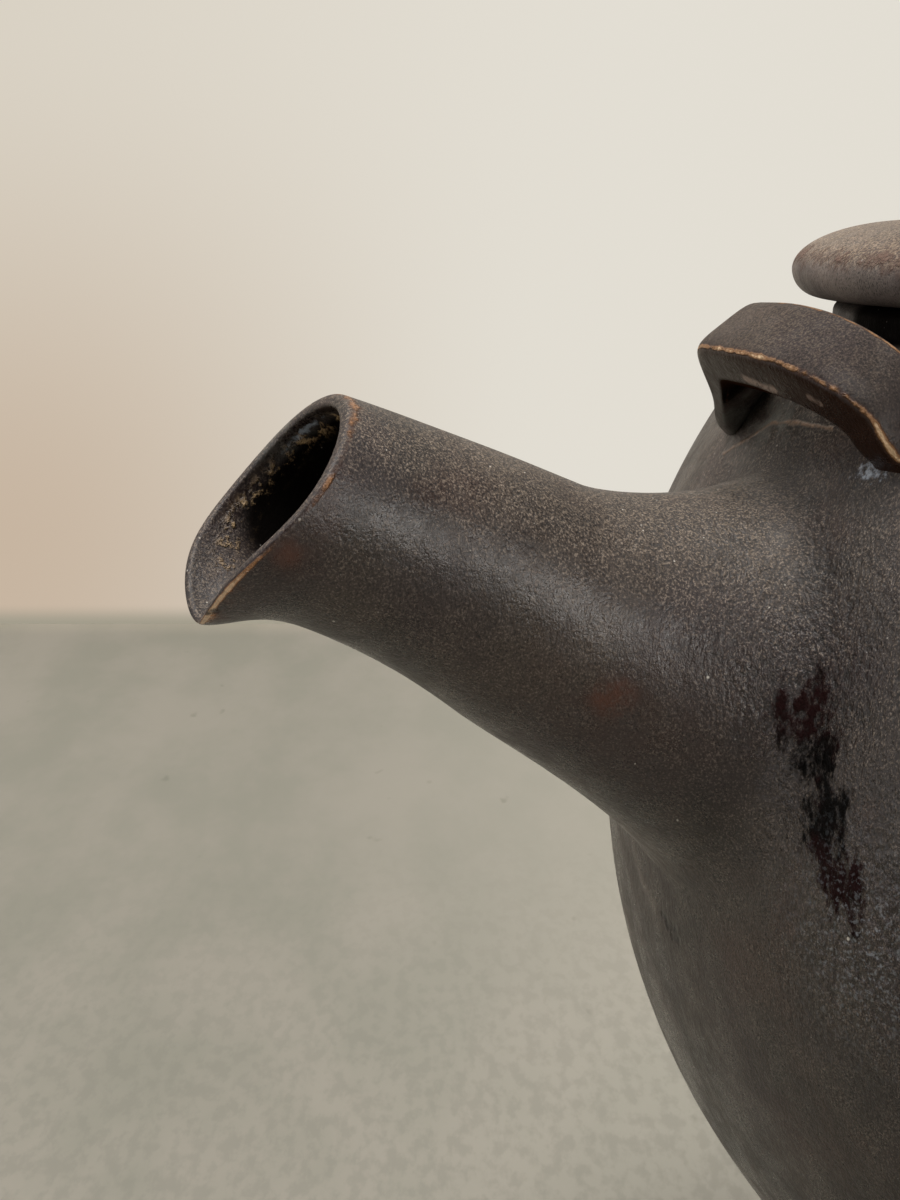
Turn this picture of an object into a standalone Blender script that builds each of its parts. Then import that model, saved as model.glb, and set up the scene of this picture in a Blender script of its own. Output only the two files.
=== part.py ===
# Small hand-made stoneware teapot: a thrown hollow pot, a luted horn spout with a pulled pouring lip,
# a pierced strainer inside the wall, two strap lugs and a loose lid on a low collar.
# The origin is the centre of the foot's underside, +Z is up and the spout points along -X.
# Lengths are in metres, angles in degrees. A name ending in SHARE or SHARES is a share of a named size.

import math

import bmesh
import bpy
from mathutils import Vector

# Pot
BODY_RADIUS = 0.056  # at the belly, the widest level
BELLY_HEIGHT = 0.049
FOOT_INSET = 0.0265  # from the belly's radius in to the foot's
FOOT_HEIGHT = 0.004
FOOT_DRAFT = 0.0006  # the foot draws in by this towards its underside
FOOT_EDGE = 0.0008  # rounding of the foot's lower edge
FOOT_FILLET = 0.0015  # rounding where the foot meets the belly
SHOULDER_INSET = 0.012  # from the belly's radius in to the shoulder's edge
SHOULDER_RISE = 0.0326  # from the belly up to the shoulder's edge
LEDGE_WIDTH = 0.0045  # flat of the shoulder outside the collar
LEDGE_RISE = 0.0003
LEDGE_EDGE = 0.0016  # rounding of the shoulder's edge
COLLAR_HEIGHT = 0.0022
COLLAR_WALL = 0.005
COLLAR_EDGE = 0.001
WALL = 0.004
FLOOR = 0.006
FLOOR_FILLET = 0.004

# Clearances
LUTE_GAP = 0.0003  # joint between two clay pieces that are luted together
SEAT_GAP = 0.0003  # between the lid and the collar that it rests on
FLANGE_PLAY = 0.001  # between the lid's flange and the mouth, on the radius
OVERRUN = 0.003  # a cutter passes its wall by this

# Spout
SPOUT_ROOT_RISE = 0.0093  # from the belly up to where the spout's axis meets the wall
SPOUT_REACH = 0.0285  # from the belly's radius out to the mouth's centre
SPOUT_LIFT = 0.0151  # from the root up to the mouth's centre
SPOUT_ROOT_SLOPE = 30.0
SPOUT_MOUTH_SLOPE = 17.0
SPOUT_MOUTH_RADIUS = 0.00725
SPOUT_THROAT_RADIUS = 0.0084  # where the skirt begins to flare
SPOUT_SKIRT_SHARE = 0.46  # share of the axis that the flare takes, from the root
SPOUT_TAPER_POWER = 2.0
SPOUT_PULL_SHARE = 0.36  # reach of the axis's two pulls, of its chord
SKIRT_HALF_WIDTH = 0.0158
SKIRT_DOWN = 0.0158
SKIRT_TOP_GAP = 0.0027  # from the middle of a lug's seat down to the skirt's upper edge
SKIRT_EDGE = 0.0004  # thickness of the skirt's pressed edge
SKIRT_START_SHARE = 0.55  # how firmly the flare follows the horn, and then the wall
SKIRT_END_SHARE = 0.8
SPOUT_MOUTH_WALL = 0.0014  # before it is drawn thinner at the rim
SPOUT_THROAT_WALL = 0.0028
BORE_ROOT_RADIUS = 0.0118
MOUTH_TILT = 18.0  # the mouth's plane leans back from square
MOUTH_TILT_SHARE = 0.42  # share of the axis, from the mouth, over which the rings lean back
LIP_DROP = 0.0016  # the lip's middle hangs below the round of the mouth
LIP_SPREAD = 40.0
LIP_PINCH_SHARE = 0.22
LIP_REACH = 0.0013  # the lip's two flanks are drawn forward
LIP_FLANK = 46.0  # from the lip's middle to its flank
LIP_LENGTH_SHARE = 0.20  # share of the axis, from the mouth, that the lip takes
LIP_HANG_POWER = 2.0  # a higher power keeps the hang of the lip nearer to its tip
RIM_LENGTH_SHARE = 0.25  # share of the axis, from the mouth, over which the wall is drawn thinner
RIM_THIN_SHARE = 0.30  # share of the wall that is lost all round the mouth, and more at the lip
LIP_THIN_SHARE = 0.32
LIP_THIN_SPREAD = 75.0

# Strainer
OPENING_RADIUS = 0.0105  # hole in the wall behind the spout
STRAINER_WALL = 0.0018
STRAINER_DEPTH = 0.0065  # how far the dome stands into the pot
STRAINER_RECESS = 0.0012  # its rim lies this far inside the wall's outer face
STRAINER_HOLE_RADIUS = 0.0012
STRAINER_RINGS = 2
STRAINER_FIELD_SHARE = 0.68  # radius of the outer ring of holes, of the dome's

# Lugs
LUG_SEAT_INSET = 0.0086  # from the belly's radius in to the middle of the strap's seat
LUG_SPAN = 0.011  # half the strap's length along the wall
LUG_RISE = 0.0041  # from the wall out to the strap's inner face
LUG_THICKNESS = 0.0035
LUG_BREADTH = 0.0052  # up and down the wall
LUG_ROLL = 20.0  # the strap faces up by this where it stands clear of the wall
LUG_SQUARENESS = 5.0  # power of the strap's section, 2 is an ellipse

# Lid
LID_OVERHANG = 0.0031  # the disc passes the collar by this
LID_UNDER_ROUND = 0.002
LID_SIDE_HEIGHT = 0.0036  # from the widest level up to the top's edge
LID_TOP_ROUND = 0.009
LID_CROWN = 0.0018
LID_PAD_RADIUS = 0.0085
VENT_RADIUS = 0.0013
VENT_PLACE = 0.015  # from the axis
FLANGE_WALL = 0.003
FLANGE_HEIGHT = 0.007
FLANGE_EDGE = 0.0009
FLANGE_DRAFT = 0.0005
KNOB_FOOT_RADIUS = 0.0070
KNOB_WAIST_RADIUS = 0.0052
KNOB_HEAD_RADIUS = 0.0090
KNOB_HEIGHT = 0.0115
KNOB_CROWN = 0.0016

# Facets
MERGE_DISTANCE = 0.00001
SHARP_ANGLE = 50.0  # a sharper fold between two facets is shaded as an edge
CORNER_SHARE = 0.45  # a soft corner takes at most this of the line beside it
TURNS = 48
KNOB_TURNS = 28
STRAINER_TURNS = 30
HOLE_SIDES = 10
SPOUT_SIDES = 32
LUG_SIDES = 16
ARC_STEPS = 9
ROUND_STEPS = 4
HORN_STEPS = 7
SKIRT_STEPS = 6
RIM_STEPS = 2
LUG_STEPS = 33

# Strap of a lug from its far foot to its near one, chosen by hand: along it and up to its inner face,
# then how far its thickness leans and stands from there, and its breadth
LUG_SHARES = (
    (-1.02, 0.00, -0.50, 0.04, 0.92), (-0.94, 0.00, -0.54, 0.06, 0.92), (-0.84, 0.03, -0.56, 0.12, 0.90),
    (-0.72, 0.15, -0.56, 0.14, 0.88), (-0.58, 0.36, -0.58, 0.12, 0.88), (-0.44, 0.60, -0.66, 0.10, 0.88),
    (-0.32, 0.80, -0.74, 0.24, 0.90), (-0.24, 0.92, -0.76, 0.66, 0.90), (-0.19, 0.98, -0.56, 1.02, 0.92),
    (-0.08, 1.00, -0.16, 1.00, 0.96), (0.12, 1.00, 0.02, 1.02, 1.00), (0.30, 0.94, 0.16, 1.04, 1.00),
    (0.46, 0.84, 0.38, 1.03, 1.00), (0.60, 0.68, 0.62, 0.95, 1.00), (0.70, 0.52, 0.88, 0.78, 1.00),
    (0.76, 0.34, 1.06, 0.56, 1.00), (0.80, 0.16, 1.04, 0.28, 1.00), (0.82, 0.06, 1.00, 0.09, 1.02),
    (0.81, 0.03, 1.10, 0.03, 1.08), (0.79, 0.02, 1.28, 0.02, 1.14),
)
LUG_STAND_SHARE = 0.35  # the strap has its whole roll from this share of its rise up

# Side of the knob from its foot up: out from the waist and up, of its head and its height
KNOB_SHARES = ((0.0, 0.0), (0.05, 0.14), (0.62, 0.36), (1.0, 0.62), (0.72, 0.90))

# Sizes that follow from the ones above
SHOULDER_RADIUS = BODY_RADIUS - SHOULDER_INSET
COLLAR_RADIUS = SHOULDER_RADIUS - LEDGE_WIDTH
MOUTH_RADIUS = COLLAR_RADIUS - COLLAR_WALL
FOOT_RADIUS = BODY_RADIUS - FOOT_INSET
SHOULDER_HEIGHT = BELLY_HEIGHT + SHOULDER_RISE
SPOUT_ROOT_HEIGHT = BELLY_HEIGHT + SPOUT_ROOT_RISE
COLLAR_TOP = SHOULDER_HEIGHT + LEDGE_RISE + COLLAR_HEIGHT
LID_SEAT = COLLAR_TOP + SEAT_GAP
LID_RADIUS = COLLAR_RADIUS + LID_OVERHANG
LID_EDGE_TOP = LID_SEAT + LID_UNDER_ROUND + LID_SIDE_HEIGHT
LID_TOP = LID_EDGE_TOP + LID_CROWN
BODY_RISE = SHOULDER_RISE / math.sqrt(1.0 - (SHOULDER_RADIUS / BODY_RADIUS) ** 2)
BODY_DROP = (BELLY_HEIGHT - FOOT_HEIGHT) / math.sqrt(1.0 - (FOOT_RADIUS / BODY_RADIUS) ** 2)

FULL_TURN = 2.0 * math.pi
QUARTER_TURN = 0.5 * math.pi


# Scene and materials

def clear_scene():
    for item in list(bpy.data.objects):
        bpy.data.objects.remove(item, do_unlink=True)
    for group in list(bpy.data.collections):
        bpy.data.collections.remove(group)


def new_collection(name):
    group = bpy.data.collections.new(name)
    bpy.context.scene.collection.children.link(group)
    return group


def new_material(name, colour, roughness, metallic=0.0):
    material = bpy.data.materials.new(name)
    material.use_nodes = True
    shader = material.node_tree.nodes["Principled BSDF"]
    shader.inputs["Base Color"].default_value = (*colour, 1.0)
    shader.inputs["Roughness"].default_value = roughness
    shader.inputs["Metallic"].default_value = metallic
    return material


def add_mesh_object(name, mesh, group, material=None):
    item = bpy.data.objects.new(name, mesh)
    group.objects.link(item)
    if material:
        mesh.materials.append(material)
    return item


# Profiles: lists of (radius, height)

def ellipse_arc(radius, height, level, start, end, steps):
    """Points from angle start to end on an ellipse about the axis; angle 0 is its widest level."""
    points = []
    for step in range(steps + 1):
        angle = start + (end - start) * step / steps
        points.append((radius * math.cos(angle), level + height * math.sin(angle)))
    return points


def round_corner(before, corner, after, reach, steps=ROUND_STEPS):
    """A soft corner: it leaves the line from before and joins the line to after, reach from the corner."""
    start = toward(corner, before, reach)
    end = toward(corner, after, reach)
    points = []
    for step in range(steps + 1):
        t = step / steps
        points.append(tuple(
            (1 - t) ** 2 * a + 2 * t * (1 - t) * b + t ** 2 * c for a, b, c in zip(start, corner, end)
        ))
    return points


def toward(point, target, reach):
    offset = [b - a for a, b in zip(point, target)]
    length = math.hypot(*offset)
    share = min(reach / length, CORNER_SHARE)
    return tuple(a + d * share for a, d in zip(point, offset))


def turned(name, profile, steps, group, material, matrix=None):
    """A turned solid: the profile runs down its outer side, from the axis to the axis."""
    mesh = bpy.data.meshes.new(name)
    points = [(radius, 0.0, height) for radius, height in profile]
    edges = [(index, index + 1) for index in range(len(points) - 1)]
    mesh.from_pydata(points, edges, [])
    item = add_mesh_object(name, mesh, group, material)
    screw = item.modifiers.new("Turning", 'SCREW')
    screw.axis = 'Z'
    screw.angle = FULL_TURN
    screw.steps = steps
    screw.render_steps = steps
    screw.use_merge_vertices = True
    screw.merge_threshold = MERGE_DISTANCE
    screw.use_smooth_shade = True
    if matrix:
        item.matrix_world = matrix
    return item


def turned_ring(name, profile, steps, group, material):
    """A turned ring: the profile is a closed outline that runs down its outer side."""
    return turned(name, profile + profile[:1], steps, group, material)


def cut(item, cutter, label):
    boolean = item.modifiers.new(label, 'BOOLEAN')
    boolean.operation = 'DIFFERENCE'
    boolean.solver = 'EXACT'
    boolean.object = cutter


def hide_cutter(item):
    item.hide_render = True
    item.display_type = 'WIRE'


# Places on the pot's outer surface

def on_wall(direction, lift=0.0):
    """The point of the belly's surface that a direction from the belly's centre meets, lifted off it."""
    rise = BODY_RISE if direction.z > 0 else BODY_DROP
    flat = direction.x ** 2 + direction.y ** 2
    reach = 1.0 / math.sqrt(flat / BODY_RADIUS ** 2 + direction.z ** 2 / rise ** 2)
    point = direction * reach
    normal = Vector((point.x / BODY_RADIUS ** 2, point.y / BODY_RADIUS ** 2, point.z / rise ** 2)).normalized()
    return point + normal * lift + Vector((0.0, 0.0, BELLY_HEIGHT))


def wall_normal(point):
    local = point - Vector((0.0, 0.0, BELLY_HEIGHT))
    rise = BODY_RISE if local.z > 0 else BODY_DROP
    return Vector((local.x / BODY_RADIUS ** 2, local.y / BODY_RADIUS ** 2, local.z / rise ** 2)).normalized()


def wall_direction(turn, radius):
    """Direction from the belly's centre to the shoulder at this turn about the axis and this radius."""
    height = BODY_RISE * math.sqrt(1.0 - (radius / BODY_RADIUS) ** 2)
    return Vector((radius * math.cos(turn), radius * math.sin(turn), height)).normalized()


# Lofts between rings of points

def loft(name, rings, group, material, closed_along):
    """A solid skinned over rings of equal count; open ends are capped unless the rings close on themselves."""
    shape = bmesh.new()
    rows = [[shape.verts.new(point) for point in ring] for ring in rings]
    count = len(rings[0])
    pairs = list(zip(rows, rows[1:]))
    if closed_along:
        pairs.append((rows[-1], rows[0]))
    for near, far in pairs:
        for index in range(count):
            following = (index + 1) % count
            shape.faces.new((near[index], near[following], far[following], far[index]))
    if not closed_along:
        shape.faces.new(list(reversed(rows[0])))
        shape.faces.new(rows[-1])
    bmesh.ops.triangulate(shape, faces=shape.faces[:], quad_method='SHORT_EDGE')
    bmesh.ops.recalc_face_normals(shape, faces=shape.faces[:])
    mesh = bpy.data.meshes.new(name)
    shape.to_mesh(mesh)
    shape.free()
    mesh.shade_smooth()
    mesh.set_sharp_from_angle(angle=math.radians(SHARP_ANGLE))
    return add_mesh_object(name, mesh, group, material)


def hermite(start, start_pull, end, end_pull, t):
    return (
        start * (2 * t ** 3 - 3 * t ** 2 + 1)
        + start_pull * (t ** 3 - 2 * t ** 2 + t)
        + end * (3 * t ** 2 - 2 * t ** 3)
        + end_pull * (t ** 3 - t ** 2)
    )


def bell(distance, spread):
    return math.exp(-(distance / spread) ** 2)


def smooth_step(value):
    value = min(max(value, 0.0), 1.0)
    return value * value * (3.0 - 2.0 * value)


# Pot

def body_profile():
    inner_radius = BODY_RADIUS - WALL
    inner_rise = BODY_RISE - WALL
    inner_drop = BODY_DROP - WALL
    ceiling = SHOULDER_HEIGHT - WALL
    floor_angle = -math.asin((BELLY_HEIGHT - FLOOR) / inner_drop)
    ceiling_angle = math.asin((ceiling - BELLY_HEIGHT) / inner_rise)
    shoulder_angle = math.acos(SHOULDER_RADIUS / BODY_RADIUS)
    foot_angle = -math.acos(FOOT_RADIUS / BODY_RADIUS)
    inside = ellipse_arc(inner_radius, inner_drop, BELLY_HEIGHT, floor_angle, 0.0, ARC_STEPS)
    inside += ellipse_arc(inner_radius, inner_rise, BELLY_HEIGHT, 0.0, ceiling_angle, ARC_STEPS - 2)[1:]
    outside = ellipse_arc(BODY_RADIUS, BODY_RISE, BELLY_HEIGHT, shoulder_angle, 0.0, ARC_STEPS)
    outside += ellipse_arc(BODY_RADIUS, BODY_DROP, BELLY_HEIGHT, 0.0, foot_angle, ARC_STEPS)[1:]
    ledge_in = (COLLAR_RADIUS, SHOULDER_HEIGHT + LEDGE_RISE)
    rim_out = (COLLAR_RADIUS, COLLAR_TOP)
    rim_in = (MOUTH_RADIUS, COLLAR_TOP)
    neck = (MOUTH_RADIUS, ceiling)
    foot_top = (FOOT_RADIUS, FOOT_HEIGHT)
    foot_low = (FOOT_RADIUS - FOOT_DRAFT, 0.0)
    floor_centre = (0.0, FLOOR)
    base_centre = (0.0, 0.0)
    profile = [floor_centre]
    profile += round_corner(floor_centre, inside[0], inside[1], FLOOR_FILLET, 2)
    profile += inside[1:]
    profile += [neck]
    profile += round_corner(neck, rim_in, rim_out, COLLAR_EDGE, 3)
    profile += round_corner(rim_in, rim_out, ledge_in, COLLAR_EDGE, 3)
    profile += [ledge_in]
    profile += round_corner(ledge_in, outside[0], outside[1], LEDGE_EDGE, 3)
    profile += outside[1:-1]
    profile += round_corner(outside[-2], foot_top, foot_low, FOOT_FILLET, 2)
    profile += round_corner(foot_top, foot_low, base_centre, FOOT_EDGE, 2)
    profile += [base_centre]
    return profile


def root_direction():
    """Direction from the belly's centre to the place where the spout's axis meets the wall."""
    radius = BODY_RADIUS * math.sqrt(1.0 - (SPOUT_ROOT_RISE / BODY_RISE) ** 2)
    return Vector((-radius, 0.0, SPOUT_ROOT_RISE)).normalized()


def opening_matrix():
    """Frame of the hole behind the spout: its Z axis points out of the pot."""
    centre = on_wall(root_direction())
    outward = wall_normal(centre)
    matrix = outward.to_track_quat('Z', 'Y').to_matrix().to_4x4()
    matrix.translation = centre
    return matrix


def add_body(group, cutters, material):
    item = turned("body_shell", body_profile(), TURNS, group, material)
    length = WALL + OVERRUN
    mesh = bpy.data.meshes.new("opening_cutter")
    shape = bmesh.new()
    bmesh.ops.create_cone(
        shape, cap_ends=True, segments=STRAINER_TURNS,
        radius1=OPENING_RADIUS, radius2=OPENING_RADIUS, depth=2.0 * length,
    )
    shape.to_mesh(mesh)
    shape.free()
    cutter = add_mesh_object("opening_cutter", mesh, cutters)
    cutter.matrix_world = opening_matrix()
    hide_cutter(cutter)
    cut(item, cutter, "Spout opening")
    return item


# Spout

def spout_axis(t):
    """Point and direction of the spout's axis, from the wall at 0 to the mouth at 1."""
    root = on_wall(root_direction())
    mouth = Vector((-BODY_RADIUS - SPOUT_REACH, 0.0, SPOUT_ROOT_HEIGHT + SPOUT_LIFT))
    chord = (mouth - root).length
    pull = chord * SPOUT_PULL_SHARE
    root_slope = math.radians(SPOUT_ROOT_SLOPE)
    mouth_slope = math.radians(SPOUT_MOUTH_SLOPE)
    first = root + Vector((-math.cos(root_slope), 0.0, math.sin(root_slope))) * pull
    second = mouth - Vector((-math.cos(mouth_slope), 0.0, math.sin(mouth_slope))) * pull
    point = (
        root * (1 - t) ** 3 + first * (3 * t * (1 - t) ** 2)
        + second * (3 * t ** 2 * (1 - t)) + mouth * t ** 3
    )
    direction = (
        (first - root) * (1 - t) ** 2 + (second - first) * (2 * t * (1 - t)) + (mouth - second) * t ** 2
    ).normalized()
    return point, direction


def throat_share(t):
    """0 at the mouth and 1 where the skirt begins."""
    return (1.0 - t) / (1.0 - SPOUT_SKIRT_SHARE)


def spout_ring(t, inset_share, forward=0.0):
    """Ring of the horn at t. inset_share is 0 on its outer face and 1 on its bore."""
    centre, along = spout_axis(t)
    side = Vector((0.0, 1.0, 0.0))
    up = side.cross(along)
    if up.z < 0:
        up = -up
    share = throat_share(t)
    radius = SPOUT_MOUTH_RADIUS + (SPOUT_THROAT_RADIUS - SPOUT_MOUTH_RADIUS) * share ** SPOUT_TAPER_POWER
    wall = SPOUT_MOUTH_WALL + (SPOUT_THROAT_WALL - SPOUT_MOUTH_WALL) * min(share, 1.0)
    lip = smooth_step((t - 1.0 + LIP_LENGTH_SHARE) / LIP_LENGTH_SHARE)
    rim = smooth_step((t - 1.0 + RIM_LENGTH_SHARE) / RIM_LENGTH_SHARE)
    tilt = smooth_step((t - 1.0 + MOUTH_TILT_SHARE) / MOUTH_TILT_SHARE)
    lean = math.tan(math.radians(MOUTH_TILT)) * tilt
    ring = []
    for index in range(SPOUT_SIDES):
        turn = FULL_TURN * index / SPOUT_SIDES
        across = math.cos(turn)
        height = math.sin(turn)
        from_low = math.degrees(abs(math.atan2(across, -height)))
        low = lip * bell(from_low, LIP_SPREAD)
        flank = lip * bell(from_low - LIP_FLANK, LIP_SPREAD)
        thin = 1.0 - rim * (RIM_THIN_SHARE + LIP_THIN_SHARE * bell(from_low, LIP_THIN_SPREAD))
        span = radius - wall * inset_share * thin
        point = centre + side * (span * across * (1.0 - LIP_PINCH_SHARE * low))
        point += up * (span * height - LIP_DROP * low * lip ** (LIP_HANG_POWER - 1.0))
        point += along * (forward * thin - span * height * lean + LIP_REACH * flank)
        ring.append(point)
    return ring


def wall_ring(half_width, up_reach, down_reach, lift):
    """Ring round the spout's root on the pot's wall, turned as the spout's rings are."""
    middle = root_direction()
    side = Vector((0.0, 1.0, 0.0))
    up = side.cross(middle)
    if up.z < 0:
        up = -up
    reach = (on_wall(middle) - Vector((0.0, 0.0, BELLY_HEIGHT))).length
    ring = []
    for index in range(SPOUT_SIDES):
        turn = FULL_TURN * index / SPOUT_SIDES
        rise = up_reach if math.sin(turn) > 0 else down_reach
        offset = side * (half_width * math.cos(turn)) + up * (rise * math.sin(turn))
        ring.append(on_wall((middle * reach + offset).normalized(), lift))
    return ring


def skirt_ring(share, lift):
    """Ring on the wall: the skirt's edge at share 0, the root of the bore at share 1."""
    reaches = [
        reach + (BORE_ROOT_RADIUS - reach) * share for reach in (SKIRT_HALF_WIDTH, skirt_up(), SKIRT_DOWN)
    ]
    return wall_ring(*reaches, lift)


def skirt_up():
    """Reach of the skirt up the wall: it stops short of the middle of the front lug's seat."""
    root = root_direction()
    seat = wall_direction(math.pi, BODY_RADIUS - LUG_SEAT_INSET)
    reach = (on_wall(root) - Vector((0.0, 0.0, BELLY_HEIGHT))).length
    return reach * math.tan(root.angle(seat)) - SKIRT_TOP_GAP


def flare_rings(start, start_before, end, end_beyond, start_share, end_share, steps):
    """Rings that leave the horn along its side and land along the wall."""
    rings = []
    for step in range(1, steps + 1):
        t = step / steps
        ring = []
        for p, before, q, beyond in zip(start, start_before, end, end_beyond):
            span = (q - p).length
            leave = (p - before).normalized() * span * start_share
            land = (beyond - q).normalized() * span * end_share
            ring.append(hermite(p, leave, q, land, t))
        rings.append(ring)
    return rings


def add_spout(group, material):
    skirt_lift = LUTE_GAP + SKIRT_EDGE
    stations = [1.0 - (1.0 - SPOUT_SKIRT_SHARE) * step / HORN_STEPS for step in range(HORN_STEPS + 1)]
    last, step_back = stations[-1], stations[-1] - stations[-2]
    outer = [spout_ring(t, 0.0) for t in stations]
    bore = [spout_ring(t, 1.0) for t in stations]
    # The flare leaves along the horn's own side and lands along the wall, away from the root.
    landing = skirt_ring(0.0, skirt_lift)
    beyond = skirt_ring(-SKIRT_EDGE / SKIRT_HALF_WIDTH, skirt_lift)
    before = spout_ring(last - step_back, 0.0)
    outer += flare_rings(outer[-1], before, landing, beyond, SKIRT_START_SHARE, SKIRT_END_SHARE, SKIRT_STEPS)
    # The underside lies on the wall, a luting joint away.
    under = [skirt_ring(0.0, LUTE_GAP), skirt_ring(0.5, LUTE_GAP)]
    bore_root = skirt_ring(1.0, LUTE_GAP)
    bore_middle = [(p + q) * 0.5 for p, q in zip(bore[-1], bore_root)]
    # A rounded rim joins the mouth's outer and inner edges.
    rim = []
    for step in range(1, RIM_STEPS + 1):
        angle = math.pi * step / (RIM_STEPS + 1)
        rim.append(spout_ring(1.0, 0.5 - 0.5 * math.cos(angle), 0.5 * SPOUT_MOUTH_WALL * math.sin(angle)))
    rings = outer + under + [bore_root, bore_middle] + list(reversed(bore)) + list(reversed(rim))
    return loft("spout", rings, group, material, closed_along=True)


# Strainer

def dome_point(share, turn, inset):
    """Point of the dome at a share of its radius, and its outward normal, in the opening's frame."""
    radius = OPENING_RADIUS - LUTE_GAP
    depth = STRAINER_DEPTH
    angle = math.asin(share)
    flat = (radius - inset) * math.sin(angle)
    level = -WALL - (depth - inset) * math.cos(angle)
    normal = Vector((math.sin(angle) / radius, 0.0, -math.cos(angle) / depth)).normalized()
    place = Vector((flat * math.cos(turn), flat * math.sin(turn), level))
    return place, Vector((normal.x * math.cos(turn), normal.x * math.sin(turn), normal.z))


def add_strainer(group, cutters, material):
    radius = OPENING_RADIUS - LUTE_GAP
    inner = radius - STRAINER_WALL
    top = -STRAINER_RECESS
    inner_arc = ellipse_arc(inner, STRAINER_DEPTH - STRAINER_WALL, -WALL, -QUARTER_TURN, 0.0, ROUND_STEPS + 1)
    outer_arc = ellipse_arc(radius, STRAINER_DEPTH, -WALL, 0.0, -QUARTER_TURN, ROUND_STEPS + 1)
    profile = inner_arc + [(inner, top), (radius, top)] + outer_arc
    profile[0] = (0.0, profile[0][1])
    profile[-1] = (0.0, profile[-1][1])
    item = turned("strainer", profile, STRAINER_TURNS, group, material, opening_matrix())
    shape = bmesh.new()
    depth = 2.0 * (STRAINER_WALL + OVERRUN)
    for ring in range(STRAINER_RINGS + 1):
        holes = max(1, 6 * ring)
        share = STRAINER_FIELD_SHARE * ring / STRAINER_RINGS
        for index in range(holes):
            place, normal = dome_point(share, FULL_TURN * (index + 0.5) / holes, 0.5 * STRAINER_WALL)
            matrix = normal.to_track_quat('Z', 'Y').to_matrix().to_4x4()
            matrix.translation = place
            bmesh.ops.create_cone(
                shape, cap_ends=True, segments=HOLE_SIDES, matrix=matrix,
                radius1=STRAINER_HOLE_RADIUS, radius2=STRAINER_HOLE_RADIUS, depth=depth,
            )
    mesh = bpy.data.meshes.new("strainer_cutter")
    shape.to_mesh(mesh)
    shape.free()
    cutter = add_mesh_object("strainer_cutter", mesh, cutters)
    cutter.matrix_world = opening_matrix()
    hide_cutter(cutter)
    cut(item, cutter, "Strainer holes")
    return item


# Lugs

def b_spline(points, steps):
    """Even points of a smooth curve that follows a list of points."""
    first, last = points[0], points[-1]
    padded = [first, first] + list(points) + [last, last]
    result = []
    spans = len(padded) - 3
    for step in range(steps + 1):
        place = spans * step / steps
        index = min(int(place), spans - 1)
        t = place - index
        weights = (
            (1 - t) ** 3 / 6, (3 * t ** 3 - 6 * t ** 2 + 4) / 6,
            (-3 * t ** 3 + 3 * t ** 2 + 3 * t + 1) / 6, t ** 3 / 6,
        )
        chosen = padded[index:index + 4]
        result.append(tuple(sum(w * value for w, value in zip(weights, column)) for column in zip(*chosen)))
    return result


def lug_path():
    """Middle of the strap from foot to foot: along, up, halves of its lean, stand and breadth, and its roll."""
    path = []
    for along, up, lean, stand, broad in b_spline(LUG_SHARES, LUG_STEPS):
        half_lean = 0.5 * LUG_THICKNESS * lean
        half_stand = 0.5 * LUG_THICKNESS * stand
        roll = math.radians(LUG_ROLL) * smooth_step(up / LUG_STAND_SHARE)
        middle = (LUG_SPAN * along + half_lean, LUG_RISE * up + half_stand)
        path.append((*middle, half_lean, half_stand, 0.5 * LUG_BREADTH * broad, roll))
    return path


def add_lug(name, turn, group, material):
    """A strap over the shoulder, its feet luted to the wall, its loop open up the slope."""
    seat_radius = BODY_RADIUS - LUG_SEAT_INSET
    middle = wall_direction(0.0, seat_radius)
    slope_reach = (on_wall(middle) - Vector((0.0, 0.0, BELLY_HEIGHT))).length
    slope = math.atan2(middle.z, middle.x)
    rings = []
    for along, height, half_lean, half_stand, half_breadth, roll in lug_path():
        ring = []
        for side in range(LUG_SIDES):
            angle = FULL_TURN * (side + 0.5) / LUG_SIDES
            across = power_curve(math.cos(angle)) * half_breadth
            out = power_curve(math.sin(angle))
            place = along + half_lean * out
            up = height + half_stand * out
            lift = max(up * math.cos(roll) - across * math.sin(roll), 0.0)
            level = slope + (up * math.sin(roll) + across * math.cos(roll)) / slope_reach
            azimuth = turn + place / seat_radius
            direction = Vector((
                math.cos(level) * math.cos(azimuth), math.cos(level) * math.sin(azimuth), math.sin(level),
            ))
            ring.append(on_wall(direction, LUTE_GAP + lift))
        rings.append(ring)
    return loft(name, rings, group, material, closed_along=False)


def power_curve(value):
    return math.copysign(abs(value) ** (2.0 / LUG_SQUARENESS), value)


# Lid

def lid_profile():
    widest = LID_SEAT + LID_UNDER_ROUND
    edge = LID_RADIUS - LID_TOP_ROUND
    crown = []
    for step in range(ROUND_STEPS + 1):
        share = step / ROUND_STEPS
        radius = LID_PAD_RADIUS + (edge - LID_PAD_RADIUS) * share
        crown.append((radius, LID_TOP - LID_CROWN * share ** 2))
    over = [
        (edge + LID_TOP_ROUND * math.sin(QUARTER_TURN * step / ARC_STEPS),
         widest + LID_SIDE_HEIGHT * math.cos(QUARTER_TURN * step / ARC_STEPS))
        for step in range(1, ARC_STEPS + 1)
    ]
    under = [
        (LID_RADIUS - LID_UNDER_ROUND * (1.0 - math.cos(QUARTER_TURN * step / ROUND_STEPS)),
         widest - LID_UNDER_ROUND * math.sin(QUARTER_TURN * step / ROUND_STEPS))
        for step in range(1, ROUND_STEPS + 1)
    ]
    return [(0.0, LID_TOP)] + crown + over + under + [(0.0, LID_SEAT)]


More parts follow.
